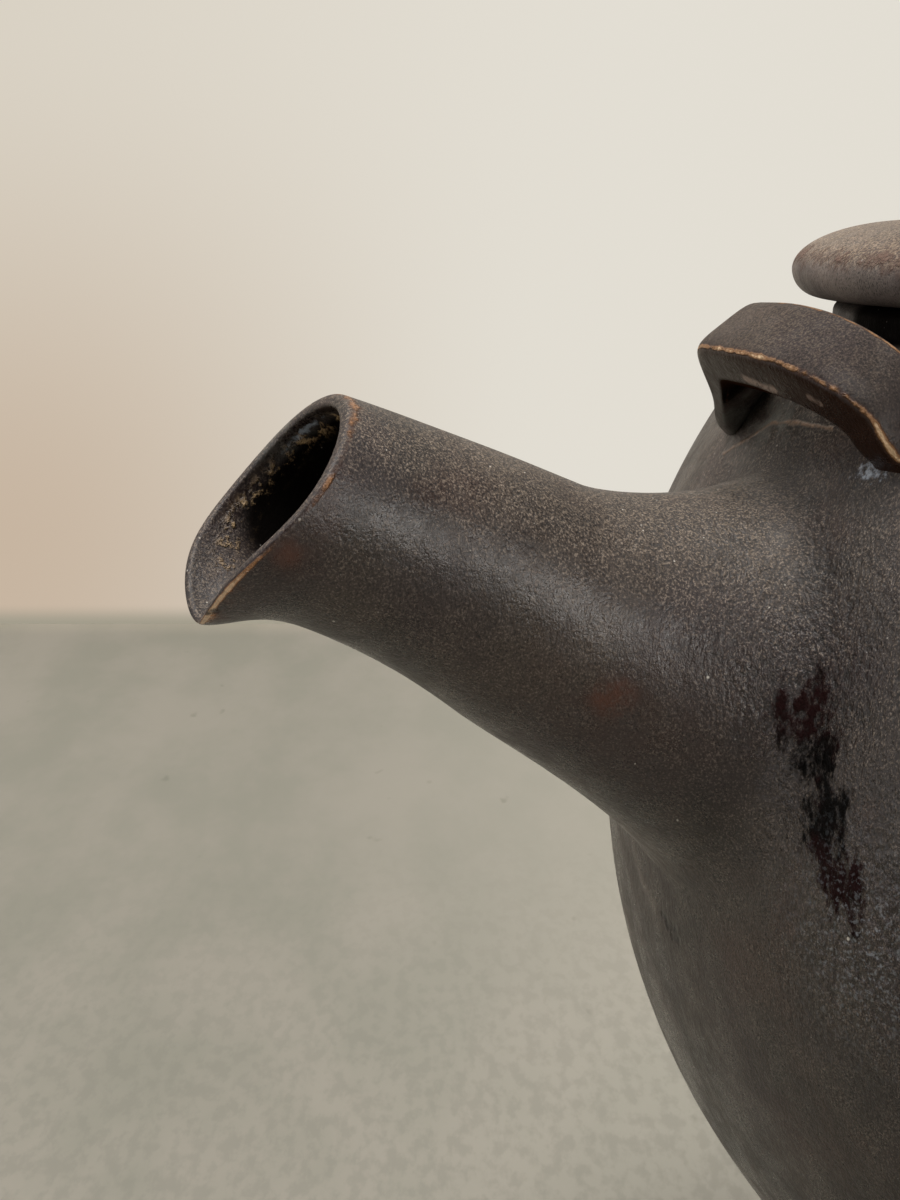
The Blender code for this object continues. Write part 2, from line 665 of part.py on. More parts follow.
def add_lid_disc(group, cutters, material):
    item = turned("lid_disc", lid_profile(), TURNS, group, material)
    mesh = bpy.data.meshes.new("vent_cutter")
    shape = bmesh.new()
    depth = 2.0 * (LID_TOP - LID_SEAT + OVERRUN)
    bmesh.ops.create_cone(
        shape, cap_ends=True, segments=2 * HOLE_SIDES,
        radius1=VENT_RADIUS, radius2=VENT_RADIUS, depth=depth,
    )
    shape.to_mesh(mesh)
    shape.free()
    cutter = add_mesh_object("vent_cutter", mesh, cutters)
    cutter.location = (VENT_PLACE, 0.0, 0.5 * (LID_TOP + LID_SEAT))
    hide_cutter(cutter)
    cut(item, cutter, "Vent")
    return item


def add_lid_flange(group, material):
    outer = MOUTH_RADIUS - FLANGE_PLAY
    inner = outer - FLANGE_WALL
    top = LID_SEAT - LUTE_GAP
    bottom = top - FLANGE_HEIGHT
    top_out, low_out = (outer, top), (outer - FLANGE_DRAFT, bottom)
    low_in, top_in = (inner, bottom), (inner, top)
    profile = [top_in, top_out]
    profile += round_corner(top_out, low_out, low_in, FLANGE_EDGE, 2)
    profile += round_corner(low_out, low_in, top_in, FLANGE_EDGE, 2)
    return turned_ring("lid_flange", profile, TURNS, group, material)


def add_lid_knob(group, material):
    base = LID_TOP + LUTE_GAP
    side = []
    for out, up in KNOB_SHARES:
        radius = KNOB_WAIST_RADIUS + (KNOB_HEAD_RADIUS - KNOB_WAIST_RADIUS) * out
        side.append((radius, base + (KNOB_HEIGHT - KNOB_CROWN) * up))
    side[0] = (KNOB_FOOT_RADIUS, base)
    head = (side[-1][0], base + KNOB_HEIGHT - KNOB_CROWN)
    smooth = b_spline([head] + list(reversed(side)), 3 * ROUND_STEPS)
    crown = ellipse_arc(smooth[0][0], KNOB_CROWN, smooth[0][1], QUARTER_TURN, 0.0, ROUND_STEPS)
    crown[0] = (0.0, crown[0][1])
    profile = crown + smooth[1:] + [(0.0, base)]
    return turned("lid_knob", profile, KNOB_TURNS, group, material)


def main():
    clear_scene()
    parts = new_collection("teapot")
    cutters = new_collection("cutters")
    glaze = (0.075, 0.056, 0.047)
    add_body(parts, cutters, new_material("pot_glaze", glaze, 0.42))
    add_spout(parts, new_material("spout_glaze", (0.080, 0.058, 0.048), 0.40))
    add_strainer(parts, cutters, new_material("strainer_clay", (0.17, 0.10, 0.07), 0.60))
    add_lug("front_lug", math.pi, parts, new_material("front_lug_glaze", (0.095, 0.062, 0.045), 0.38))
    add_lug("rear_lug", 0.0, parts, new_material("rear_lug_glaze", (0.095, 0.062, 0.045), 0.38))
    add_lid_disc(parts, cutters, new_material("lid_glaze", (0.090, 0.065, 0.052), 0.45))
    add_lid_flange(parts, new_material("flange_clay", (0.17, 0.10, 0.07), 0.60))
    add_lid_knob(parts, new_material("knob_glaze", (0.090, 0.065, 0.052), 0.42))


main()
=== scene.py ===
import math

import bpy
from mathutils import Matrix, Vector, noise


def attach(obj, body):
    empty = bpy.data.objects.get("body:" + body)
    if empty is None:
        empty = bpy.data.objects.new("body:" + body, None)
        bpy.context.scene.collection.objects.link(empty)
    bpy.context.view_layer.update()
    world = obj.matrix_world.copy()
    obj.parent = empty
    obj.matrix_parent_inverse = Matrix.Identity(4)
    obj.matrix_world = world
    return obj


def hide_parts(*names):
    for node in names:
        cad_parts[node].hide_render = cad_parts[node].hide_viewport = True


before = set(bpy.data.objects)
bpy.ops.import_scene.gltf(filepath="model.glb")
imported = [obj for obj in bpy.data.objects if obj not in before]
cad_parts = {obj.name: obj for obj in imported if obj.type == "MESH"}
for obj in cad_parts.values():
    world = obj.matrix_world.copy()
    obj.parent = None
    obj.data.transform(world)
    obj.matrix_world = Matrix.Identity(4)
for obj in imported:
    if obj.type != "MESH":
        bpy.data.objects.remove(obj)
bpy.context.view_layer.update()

# Small stoneware teapot seen close, spout first. Metres, +Z up, spout along -X.

# Small helpers

def clearSelection():
    if bpy.context.object and bpy.context.object.mode != 'OBJECT':
        bpy.ops.object.mode_set(mode='OBJECT')
    bpy.ops.object.select_all(action='DESELECT')


def makeActive(piece):
    clearSelection()
    piece.select_set(True)
    bpy.context.view_layer.objects.active = piece


def smoothStep(low, high, value):
    t = min(max((value - low) / (high - low), 0.0), 1.0)
    return t * t * (3.0 - 2.0 * t)


def bell(distance, width):
    return math.exp(-(distance / width) ** 2)


def ellipseArc(radius, height, level, start, end, steps, middle=0.0):
    points = []
    for step in range(steps + 1):
        angle = start + (end - start) * step / steps
        points.append((middle + radius * math.cos(angle), level + height * math.sin(angle)))
    return points


def weighted(weights, points):
    return tuple(sum(w * v for w, v in zip(weights, column)) for column in zip(*points))


def roundCorner(before, corner, after, reach, steps):
    def toward(target):
        offset = [b - a for a, b in zip(corner, target)]
        share = min(reach / math.hypot(*offset), 0.45)
        return tuple(a + d * share for a, d in zip(corner, offset))
    start, end = toward(before), toward(after)
    points = []
    for step in range(steps + 1):
        t = step / steps
        points.append(weighted(((1 - t) ** 2, 2 * t * (1 - t), t * t), (start, corner, end)))
    return points


def turnPiece(name, profile, segments):
    # the outline is drawn by pulling one point from place to place, then spun round the axis
    clearSelection()
    bpy.ops.mesh.primitive_plane_add(size=0.001, location=(profile[0][0], 0, profile[0][1]))
    piece = bpy.context.object
    piece.name = piece.data.name = name
    bpy.ops.object.mode_set(mode='EDIT')
    bpy.ops.mesh.select_mode(type='VERT')
    bpy.ops.mesh.select_all(action='SELECT')
    bpy.ops.mesh.merge(type='CENTER')
    for (r0, z0), (r1, z1) in zip(profile, profile[1:]):
        bpy.ops.mesh.extrude_region_move(TRANSFORM_OT_translate={"value": (r1 - r0, 0, z1 - z0)})
    bpy.ops.mesh.select_all(action='SELECT')
    bpy.ops.mesh.spin(steps=segments, angle=2 * math.pi, center=(0, 0, 0), axis=(0, 0, 1))
    bpy.ops.mesh.select_all(action='SELECT')
    bpy.ops.mesh.remove_doubles(threshold=0.00001)
    bpy.ops.mesh.normals_make_consistent(inside=False)
    bpy.ops.object.mode_set(mode='OBJECT')
    bpy.ops.object.transform_apply(location=True, rotation=True, scale=True)
    return piece


def loftPiece(name, rings, closedAlong):
    # skin over rings of equal count, for forms that no turning or extruding gives
    count = len(rings[0])
    points = [tuple(p) for ring in rings for p in ring]
    faces = []
    last = len(rings) if closedAlong else len(rings) - 1
    for row in range(last):
        near, far = row * count, ((row + 1) % len(rings)) * count
        for i in range(count):
            j = (i + 1) % count
            faces.append((near + i, near + j, far + j, far + i))
    if not closedAlong:
        faces.append(tuple(reversed(range(count))))
        faces.append(tuple(range((len(rings) - 1) * count, len(rings) * count)))
    mesh = bpy.data.meshes.new(name)
    mesh.from_pydata(points, [], faces)
    piece = bpy.data.objects.new(name, mesh)
    bpy.context.scene.collection.objects.link(piece)
    makeActive(piece)
    bpy.ops.object.mode_set(mode='EDIT')
    bpy.ops.mesh.select_all(action='SELECT')
    bpy.ops.mesh.normals_make_consistent(inside=False)
    bpy.ops.object.mode_set(mode='OBJECT')
    return piece


def addRod(vertices, radius, depth, place, along=None):
    clearSelection()
    turn = along.to_track_quat('Z', 'Y').to_euler() if along else (0, 0, 0)
    bpy.ops.mesh.primitive_cylinder_add(
        vertices=vertices, radius=radius, depth=depth, location=place, rotation=turn)
    return bpy.context.object


def cutWith(piece, cutter):
    makeActive(piece)
    boolean = piece.modifiers.new("cut", 'BOOLEAN')
    boolean.operation = 'DIFFERENCE'
    boolean.solver = 'EXACT'
    boolean.object = cutter
    bpy.ops.object.modifier_apply(modifier=boolean.name)
    bpy.data.objects.remove(cutter, do_unlink=True)


def shadeRound(piece, angle):
    makeActive(piece)
    bpy.ops.object.shade_smooth_by_angle(angle=math.radians(angle))


def storeMask(piece, name, values):
    mask = piece.data.attributes.new(name, 'FLOAT', 'POINT')
    mask.data.foreach_set("value", values)


def maskByPlace(piece, name, rule):
    storeMask(piece, name, [rule(vertex.co) for vertex in piece.data.vertices])


def grain(point, size, seed=0.0):
    return noise.noise(Vector(point) / size + Vector((seed, 3.1 * seed, -seed)))


# Pot wall shared by body, spout and lugs

wall = {"radius": 0.056, "belly": 0.049, "rise": 0.0527047, "drop": 0.0529165, "thickness": 0.004}
bellyCentre = Vector((0, 0, wall["belly"]))


def wallRise(level):
    # the wall is half an ellipsoid above the belly and half another one below it
    return wall["rise"] if level > 0 else wall["drop"]


def wallValue(offset):
    # 1 on the wall, less inside it
    flat = (offset.x ** 2 + offset.y ** 2) / wall["radius"] ** 2
    return math.sqrt(flat + offset.z ** 2 / wallRise(offset.z) ** 2)


def wallSlope(offset):
    squares = (wall["radius"] ** 2, wall["radius"] ** 2, wallRise(offset.z) ** 2)
    return Vector([part / square for part, square in zip(offset, squares)])


def onWall(direction, lift=0.0):
    point = direction * (1.0 / wallValue(direction))
    return point + wallSlope(point).normalized() * lift + bellyCentre


def toWall(point):
    return onWall((Vector(point) - bellyCentre).normalized())


def wallNormal(point):
    return wallSlope(point - bellyCentre).normalized()


def wallLift(point):
    offset = point - bellyCentre
    value = wallValue(offset)
    return (value - 1.0) * value / wallSlope(offset).length


# Node groups for the finishes

bench = {"tree": None}  # the node tree that the helpers below add to


def feed(value, socket):
    if isinstance(value, bpy.types.NodeSocket):
        bench["tree"].links.new(value, socket)
    else:
        socket.default_value = value


def addNode(kind, inputs=None, **settings):
    node = bench["tree"].nodes.new(kind)
    for key, value in settings.items():
        setattr(node, key, value)
    for key, value in (inputs or {}).items():
        feed(value, node.inputs[key])
    return node


def maths(operation, a, b=0.0, c=0.0, clamp=False):
    node = addNode("ShaderNodeMath", {0: a, 1: b, 2: c}, operation=operation, use_clamp=clamp)
    return node.outputs[0]


def times(a, b, clamp=False):
    return maths('MULTIPLY', a, b, clamp=clamp)


def timesPlus(a, b, c, clamp=False):
    return maths('MULTIPLY_ADD', a, b, c, clamp)


def vectors(operation, inputs, output=0):
    return addNode("ShaderNodeVectorMath", inputs, operation=operation).outputs[output]


def stretch(value, low, high, toLow=0.0, toHigh=1.0):
    inputs = {0: value, 1: low, 2: high, 3: toLow, 4: toHigh}
    return addNode("ShaderNodeMapRange", inputs, interpolation_type='SMOOTHSTEP').outputs[0]


def blendColour(share, first, second):
    node = addNode("ShaderNodeMix", data_type='RGBA', clamp_factor=True)
    for index, value in ((0, share), (6, first), (7, second)):
        feed(value, node.inputs[index])
    return node.outputs[2]


def noiseOf(vector, scale, detail=2.0, roughness=0.5):
    inputs = {"Vector": vector, "Scale": scale, "Detail": detail, "Roughness": roughness}
    return addNode("ShaderNodeTexNoise", inputs).outputs["Fac"]


def shifted(vector, offset, scale=(1, 1, 1)):
    return addNode("ShaderNodeMapping", {"Vector": vector, "Location": offset, "Scale": scale}).outputs[0]


def cellsOf(vector, scale, **settings):
    return addNode("ShaderNodeTexVoronoi", {"Vector": vector, "Scale": scale}, **settings).outputs


def newGroup(name, inputs, outputs):
    group = bench["tree"] = bpy.data.node_groups.new(name, 'ShaderNodeTree')
    for label, kind, value in inputs:
        socket = group.interface.new_socket(name=label, in_out='INPUT', socket_type=kind)
        if value is not None:
            socket.default_value = value
    for label, kind in outputs:
        group.interface.new_socket(name=label, in_out='OUTPUT', socket_type=kind)
    return group, addNode("NodeGroupInput").outputs, addNode("NodeGroupOutput").inputs


def useGroup(group, inputs):
    return addNode("ShaderNodeGroup", inputs, node_tree=group).outputs


floatSocket, colourSocket, vectorSocket = "NodeSocketFloat", "NodeSocketColor", "NodeSocketVector"


toneSettings = {
    "slow": 62.0, "cloud": 230.0, "fleck": 6800.0, "small": 3600.0, "rust": 88.0, "plum": 75.0,
    "plumTone": (0.027, 0.0165, 0.0185, 1), "paleFleck": (0.31, 0.25, 0.20, 1),
    "darkFleck": (0.005, 0.0035, 0.003, 1),
}


def buildGlazeTone():
    # slow drift of the iron glaze between dark, pale and rusty, with its fine speckle
    s = toneSettings
    group, given, result = newGroup("glazeTone", [
        ("Vector", vectorSocket, None), ("Dark", colourSocket, (0.03, 0.02, 0.02, 1)),
        ("Pale", colourSocket, (0.1, 0.08, 0.07, 1)), ("Rust", colourSocket, (0.1, 0.04, 0.02, 1)),
        ("Rust Share", floatSocket, 0.4), ("Fleck Share", floatSocket, 0.6),
    ], [("Colour", colourSocket), ("Grain", floatSocket)])
    v = given["Vector"]
    slow = noiseOf(v, s["slow"], 3.0, 0.55)
    cloud = noiseOf(shifted(v, (0.3, 0.1, 0.2)), s["cloud"], 4.0, 0.6)
    fleck = noiseOf(shifted(v, (0.1, 0.4, 0.0), (1.0, 1.0, 0.8)), s["fleck"], 2.0, 0.7)
    small = noiseOf(shifted(v, (0.7, 0.2, 0.5)), s["small"], 2.0, 0.6)
    share = stretch(timesPlus(slow, 1.0, timesPlus(cloud, 0.55, -0.28)), 0.30, 0.72)
    colour = blendColour(share, given["Dark"], given["Pale"])
    rust = stretch(noiseOf(shifted(v, (0.9, 0.6, 0.1)), s["rust"], 3.0, 0.6), 0.52, 0.70)
    colour = blendColour(times(rust, given["Rust Share"]), colour, given["Rust"])
    plum = noiseOf(shifted(v, (0.5, 0.3, 0.8)), s["plum"])
    colour = blendColour(stretch(plum, 0.42, 0.62, 0.0, 0.45), colour, s["plumTone"])
    bright = times(stretch(fleck, 0.54, 0.66), stretch(cloud, 0.38, 0.60, 0.75, 1.25))
    colour = blendColour(times(bright, given["Fleck Share"]), colour, s["paleFleck"])
    colour = blendColour(times(stretch(fleck, 0.48, 0.34), 0.9), colour, s["darkFleck"])
    feed(colour, result["Colour"])
    feed(timesPlus(small, 0.4, times(fleck, 0.6)), result["Grain"])
    return group


wearSettings = {"ragged": 1300.0, "slow": 270.0, "stain": (0.050, 0.021, 0.013, 1)}


def buildEdgeWear():
    # glaze broken to copper where the mask is high: ragged patches with a paler heart
    s = wearSettings
    group, given, result = newGroup("edgeWear", [
        ("Vector", vectorSocket, None), ("Mask", floatSocket, 0.0),
        ("Under", colourSocket, (0.1, 0.1, 0.1, 1)), ("Copper", colourSocket, (0.3, 0.12, 0.05, 1)),
        ("Pale Copper", colourSocket, (0.6, 0.38, 0.24, 1)),
    ], [("Colour", colourSocket), ("Worn", floatSocket)])
    v, mask = given["Vector"], given["Mask"]
    slow = noiseOf(shifted(v, (0.2, 0.8, 0.4)), s["slow"])
    level = timesPlus(noiseOf(v, s["ragged"], 4.0, 0.65), 1.2, timesPlus(slow, 1.2, -1.2))
    level = maths('ADD', mask, level)
    stain = times(stretch(level, 0.22, 0.62), stretch(mask, 0.02, 0.22))
    worn = times(stretch(level, 0.50, 0.80), stretch(mask, 0.10, 0.40))
    heart = times(stretch(level, 0.95, 1.25), stretch(mask, 0.35, 0.75))
    colour = blendColour(times(stain, 0.75), given["Under"], s["stain"])
    colour = blendColour(worn, colour, given["Copper"])
    colour = blendColour(times(heart, 0.85), colour, given["Pale Copper"])
    feed(colour, result["Colour"])
    feed(worn, result["Worn"])
    return group


dustAndGlintSettings = {
    "specks": 620.0, "paintedSparks": 1500.0, "fibres": 520.0, "bend": 160.0, "bendBy": (0.004, 0.004, 0.004),
}


def buildDustAndGlints():
    # rare pale specks and short bent fibres lying on the glaze, with fine pale sparks that are painted glints
    s = dustAndGlintSettings
    group, given, result = newGroup("dustAndGlints", [
        ("Vector", vectorSocket, None), ("Amount", floatSocket, 0.5),
    ], [("Mask", floatSocket)])
    v, amount = given["Vector"], given["Amount"]

    def chance(cells, channel=0):
        return addNode("ShaderNodeSeparateColor", {"Color": cells["Color"]}).outputs[channel]

    specks = cellsOf(v, s["specks"])
    rare = stretch(chance(specks), timesPlus(amount, -0.16, 1.0), 1.0)
    speck = times(stretch(specks["Distance"], 0.10, 0.05), stretch(rare, 0.0, 0.2))
    # painted glints: fine pale sparks, more of them where the amount is high
    paintedSparks = cellsOf(v, s["paintedSparks"])
    rare = maths('SUBTRACT', chance(paintedSparks), timesPlus(amount, -0.38, 1.0))
    paintedSpark = times(stretch(paintedSparks["Distance"], 0.12, 0.04), stretch(rare, 0.0, 0.2))
    bent = addNode("ShaderNodeTexNoise", {"Vector": v, "Scale": s["bend"], "Detail": 1.0}).outputs["Color"]
    bent = vectors('ADD', {0: vectors('MULTIPLY', {0: bent, 1: s["bendBy"]}), 1: v})
    turned = {"Vector": bent, "Rotation": (0.5, 0.9, 0.3), "Scale": (1.0, 1.0, 0.07)}
    fibres = cellsOf(addNode("ShaderNodeMapping", turned).outputs[0], s["fibres"])
    fibre = times(stretch(fibres["Distance"], 0.040, 0.020), stretch(chance(fibres, 1), 0.55, 0.57))
    feed(maths('MAXIMUM', speck, maths('MAXIMUM', paintedSpark, times(fibre, 0.7))), result["Mask"])
    return group


def buildLine():
    # soft thin line along the wall between two places
    group, given, result = newGroup("thinLine", [
        ("Vector", vectorSocket, None), ("Start", vectorSocket, None), ("End", vectorSocket, None),
        ("Width", floatSocket, 0.0003), ("Wobble", floatSocket, 0.0006),
    ], [("Mask", floatSocket)])
    v, start = given["Vector"], given["Start"]
    shake = addNode("ShaderNodeTexNoise", {"Vector": v, "Scale": 700.0, "Detail": 3.0}).outputs["Color"]
    shake = vectors('SUBTRACT', {0: shake, 1: (0.5, 0.5, 0.5)})
    place = vectors('ADD', {0: v, 1: vectors('SCALE', {0: shake, "Scale": given["Wobble"]})})
    along = vectors('SUBTRACT', {0: given["End"], 1: start})
    local = vectors('SUBTRACT', {0: place, 1: start})
    reach = vectors('DOT_PRODUCT', {0: local, 1: along}, "Value")
    t = maths('DIVIDE', reach, vectors('DOT_PRODUCT', {0: along, 1: along}, "Value"), clamp=True)
    gap = vectors('DISTANCE', {0: local, 1: vectors('SCALE', {0: along, "Scale": t})}, "Value")
    feed(stretch(maths('DIVIDE', gap, given["Width"]), 1.0, 0.2), result["Mask"])
    return group


glazeTone, edgeWear, dustAndGlintLayer, thinLine = buildGlazeTone(), buildEdgeWear(), buildDustAndGlints(), buildLine()
print("node groups built")


def startMaterial(name):
    material = bpy.data.materials.new(name)
    material.use_nodes = True
    bench["tree"] = material.node_tree
    inputs = material.node_tree.nodes["Principled BSDF"].inputs
    return material, inputs, addNode("ShaderNodeTexCoord").outputs["Object"]


def maskOf(name):
    return addNode("ShaderNodeAttribute", attribute_name=name).outputs["Fac"]


glazeSettings = {
    "dark": (0.013, 0.0088, 0.0072, 1), "pale": (0.042, 0.030, 0.0235, 1), "rust": (0.044, 0.018, 0.012, 1),
    "rustShare": 0.5, "copper": (0.24, 0.115, 0.050, 1), "paleCopper": (0.56, 0.39, 0.25, 1),
    "roughness": (0.25, 0.40), "shine": 0.5, "bump": 0.9, "bumpDepth": 0.00008,
    "fleck": (0.26, 0.40), "filmAndTopLight": 0.25, "dustAndGlints": 0.6,
    "glossTone": (0.010, 0.0075, 0.0045, 1),
    "runTone": ((0.0026, 0.0022, 0.002, 1), (0.0115, 0.0042, 0.0042, 1)),
    "stainTone": ((0.024, 0.0095, 0.0065, 1), (0.058, 0.018, 0.009, 1)),
}
glazeScales = {
    "matt": 260.0, "skin": 2100.0, "island": 560.0, "red": 420.0, "peel": 900.0, "blotch": 520.0,
    "pits": 1500.0, "glint": 3400.0, "paintedSkyGleam": 2600.0, "gold": 900.0,
}
# the near black tones paint shade and the bluish ones paint glints and reflections; the patina and film tones
# also paint light
glazeTones = {
    "paintedHollowShade": (0.006, 0.0045, 0.004, 1), "patinaAndPaintedLight": (0.17, 0.175, 0.155, 1), "glint": (0.20, 0.215, 0.235, 1),
    "paintedSkyGleam": (0.40, 0.45, 0.52, 1), "inner": (0.004, 0.003, 0.0025, 1), "gold": (0.50, 0.34, 0.18, 1),
    "filmAndTopLight": (0.33, 0.255, 0.18, 1), "dustAndGlints": (0.48, 0.45, 0.40, 1),
}


def glazeMaterial(name, changes=None, lines=()):
    s, scales, tones = dict(glazeSettings, **(changes or {})), glazeScales, glazeTones
    material, inputs, place = startMaterial(name)
    facing = addNode("ShaderNodeNewGeometry").outputs["Normal"]
    facing = addNode("ShaderNodeSeparateXYZ", {0: facing}).outputs["Z"]
    tone = useGroup(glazeTone, {
        "Vector": place, "Dark": s["dark"], "Pale": s["pale"], "Rust": s["rust"],
        "Rust Share": s["rustShare"], "Fleck Share": stretch(facing, -0.1, 0.6, *s["fleck"])})
    colour, height = tone["Colour"], tone["Grain"]
    matt = noiseOf(shifted(place, (0.6, 0.5, 0.9)), scales["matt"], 4.0, 0.7)
    roughness = timesPlus(stretch(facing, 0.1, 0.7), 0.25, stretch(tone["Grain"], 0.3, 0.7, *s["roughness"]))
    roughness = maths('ADD', roughness, stretch(matt, 0.38, 0.62, -0.06, 0.10))
    # thick run of glaze: blacker, glossier, standing in ragged islands
    run, drawn = maskOf("run"), (1.0, 1.0, 0.6)
    skin = noiseOf(shifted(place, (0.4, 0.2, 0.6), drawn), scales["skin"], 3.0, 0.6)
    island = noiseOf(shifted(place, (0.2, 0.1, 0.3), drawn), scales["island"], 4.0, 0.72)
    island = timesPlus(skin, 1.7, maths('ADD', run, timesPlus(island, 3.4, -2.65)))
    island = times(stretch(island, 0.22, 0.98), stretch(run, 0.05, 0.35))
    redder = timesPlus(maskOf("red"), 0.42, noiseOf(place, scales["red"], 4.0, 0.7))
    colour = blendColour(island, colour, blendColour(stretch(redder, 0.50, 0.78), *s["runTone"]))
    roughness = timesPlus(island, -0.16, roughness)
    # skin of small grains, coarser and drawn downwards where the glaze ran
    coarse = maskOf("rough")
    height = timesPlus(noiseOf(shifted(place, (0.8, 0.3, 0.1)), scales["peel"], 1.0), 0.7, height)
    height = timesPlus(skin, timesPlus(coarse, 3.4, 0.9), height)
    # painted shade in the hollows of the coarse grain
    colour = blendColour(times(stretch(skin, 0.50, 0.36), times(coarse, 0.7)), colour, tones["paintedHollowShade"])
    # rust stains, and pale patina that also paints light into the shade in and under the lug's loop
    stain = maskOf("stain")
    blotch = stretch(noiseOf(place, scales["blotch"], 4.0, 0.65), 0.36, 0.62)
    stainTone = blendColour(stretch(stain, 0.50, 0.90), *s["stainTone"])
    colour = blendColour(times(stain, blotch), colour, stainTone)
    colour = blendColour(times(maskOf("patinaAndPaintedLight"), blotch), colour, tones["patinaAndPaintedLight"])
    # pitted glossy skin, with painted pale bluish glints on it
    pits = maskOf("pits")
    pitCells = cellsOf(place, scales["pits"], feature='SMOOTH_F1')
    height = maths('ADD', height, times(times(stretch(pitCells["Distance"], 0.1, 0.6), pits), 2.2))
    roughness = timesPlus(pits, -0.14, roughness)
    glint = noiseOf(shifted(place, (0.1, 0.9, 0.4)), scales["glint"], 2.0, 0.6)
    colour = blendColour(times(stretch(glint, 0.52, 0.66), times(pits, 0.55)), colour, tones["glint"])
    # painted pale bluish reflections, broken up by fine noise
    paintedSkyGleam = timesPlus(noiseOf(place, scales["paintedSkyGleam"], 3.0, 0.6), 1.6, maskOf("paintedSkyGleam"))
    colour = blendColour(stretch(paintedSkyGleam, 1.22, 1.75), colour, tones["paintedSkyGleam"])
    # painted shade inside the spout and pot, under the lid and under the strap: near black, rougher and less
    # shiny, with gold grains laid over it
    inner = maskOf("inner")
    gold = times(stretch(noiseOf(place, scales["gold"], 4.0, 0.7), 0.50, 0.62), maskOf("gold"))
    colour = blendColour(gold, blendColour(inner, colour, tones["inner"]), tones["gold"])
    height = timesPlus(times(gold, skin), 6.0, height)
    roughness = timesPlus(inner, 0.4, roughness)
    # glossy darker faces
    gloss = maskOf("gloss")
    colour = blendColour(times(gloss, 0.85), colour, s["glossTone"])
    roughness = timesPlus(gloss, -0.22, roughness)
    # rims and edges
    edge = useGroup(edgeWear, {
        "Vector": place, "Mask": maskOf("wear"), "Under": colour,
        "Copper": s["copper"], "Pale Copper": s["paleCopper"]})
    colour, worn = edge["Colour"], edge["Worn"]
    roughness = timesPlus(worn, -0.06, roughness)
    height = timesPlus(times(worn, skin), 5.0, height)
    for start, end, width, tint, strength, raised in lines:
        line = useGroup(thinLine, {"Vector": place, "Start": start, "End": end, "Width": width})["Mask"]
        broken = stretch(skin, 0.34, 0.56, 0.35, 1.0)
        colour = blendColour(times(times(line, strength), broken), colour, tint)
        height = timesPlus(line, raised, height)
    # film and dust settle on what faces up; the film also paints top light, lighter on what faces up, and the
    # dust holds painted glints
    settledAndTopLight = stretch(facing, 0.15, 0.95, 0.0, s["filmAndTopLight"])
    settledAndTopLight = times(settledAndTopLight, stretch(tone["Grain"], 0.45, 0.60, 0.04, 1.0))
    settledAndTopLight = times(settledAndTopLight, maths('SUBTRACT', 1.0, maths('MAXIMUM', inner, worn)), clamp=True)
    colour = blendColour(settledAndTopLight, colour, tones["filmAndTopLight"])
    amount = stretch(facing, 0.2, 0.9, 0.5 * s["dustAndGlints"], 1.6 * s["dustAndGlints"])
    specks = useGroup(dustAndGlintLayer, {"Vector": place, "Amount": amount})["Mask"]
    feed(blendColour(specks, colour, tones["dustAndGlints"]), inputs["Base Color"])
    feed(timesPlus(specks, 0.3, roughness, clamp=True), inputs["Roughness"])
    bump = addNode("ShaderNodeBump", {"Height": height, "Strength": s["bump"], "Distance": s["bumpDepth"]})
    feed(bump.outputs[0], inputs["Normal"])
    inputs["IOR"].default_value = 1.5
    shine = timesPlus(gloss, -0.18, timesPlus(inner, -0.48, s["shine"]))
    feed(timesPlus(island, -0.47, shine, clamp=True), inputs["Specular IOR Level"])
    return material


claySettings = {
    "cloud": 160.0, "grit": 2800.0, "gritTone": (0.03, 0.018, 0.012, 1), "bump": 0.6, "bumpDepth": 0.0001,
}


def clayMaterial(name, tones):
    s = claySettings
    material, inputs, place = startMaterial(name)
    cloud = noiseOf(place, s["cloud"], 4.0, 0.6)
    gritty = noiseOf(place, s["grit"], 2.0, 0.6)
    colour = blendColour(stretch(cloud, 0.35, 0.65), tones["dark"], tones["light"])
    colour = blendColour(times(stretch(gritty, 0.60, 0.72), 0.5), colour, s["gritTone"])
    feed(colour, inputs["Base Color"])
    feed(stretch(gritty, 0.3, 0.7, 0.62, 0.82), inputs["Roughness"])
    bump = addNode("ShaderNodeBump", {"Height": gritty, "Strength": s["bump"], "Distance": s["bumpDepth"]})
    feed(bump.outputs[0], inputs["Normal"])
    return material


def dress(piece, material):
    piece.data.materials.clear()
    piece.data.materials.append(material)


def finishPiece(piece, material, body, node):
    dress(piece, material)
    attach(piece, body)
    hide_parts(node)
    print(node, "made")


# Pot body

pot = {
    "footRadius": 0.0295, "footHeight": 0.004, "footDraft": 0.0006, "shoulderRadius": 0.044,
    "shoulderRise": 0.0326, "collarRadius": 0.0395, "ledge": 0.0003, "collar": 0.0022, "mouthRadius": 0.0345,
    "floor": 0.006, "segments": 256,
    "ridge": (
        (-0.0483, 0.0098, 0.0738), (-0.0482, 0.0077, 0.0747), (-0.0479, 0.0059, 0.0756),
        (-0.0476, 0.0044, 0.0763), (-0.0475, 0.0010, 0.0767), (-0.0475, -0.0014, 0.0767),
        (-0.0474, -0.0037, 0.0767)),
    "ridgeLook": (0.00026, (0.20, 0.125, 0.080, 1), 0.75, 0.9),  # width, colour, strength, height
    "streak": ((-0.0539, 0.0099, 0.0462), (-0.0546, 0.0083, 0.0440), (-0.0551, 0.0060, 0.0426)),
    "streakLook": (0.00080, (0.13, 0.105, 0.085, 1), 0.45, 0.3),
    "scarPlace": (-0.0553, 0.0036, 0.0419), "scarLook": ((0.006, 0.005, 0.004, 1), 0.9, -2.0),
    "scars": ((0.0, 0.0, 0.0006), (0.0009, 0.0005, 0.0004), (-0.0006, -0.0007, 0.0005)),
}
spoutRoot = {"height": 0.0583, "opening": 0.0105}


def rootDirection():
    level = spoutRoot["height"] - wall["belly"]
    radius = wall["radius"] * math.sqrt(1.0 - (level / wall["rise"]) ** 2)
    return Vector((-radius, 0, level)).normalized()


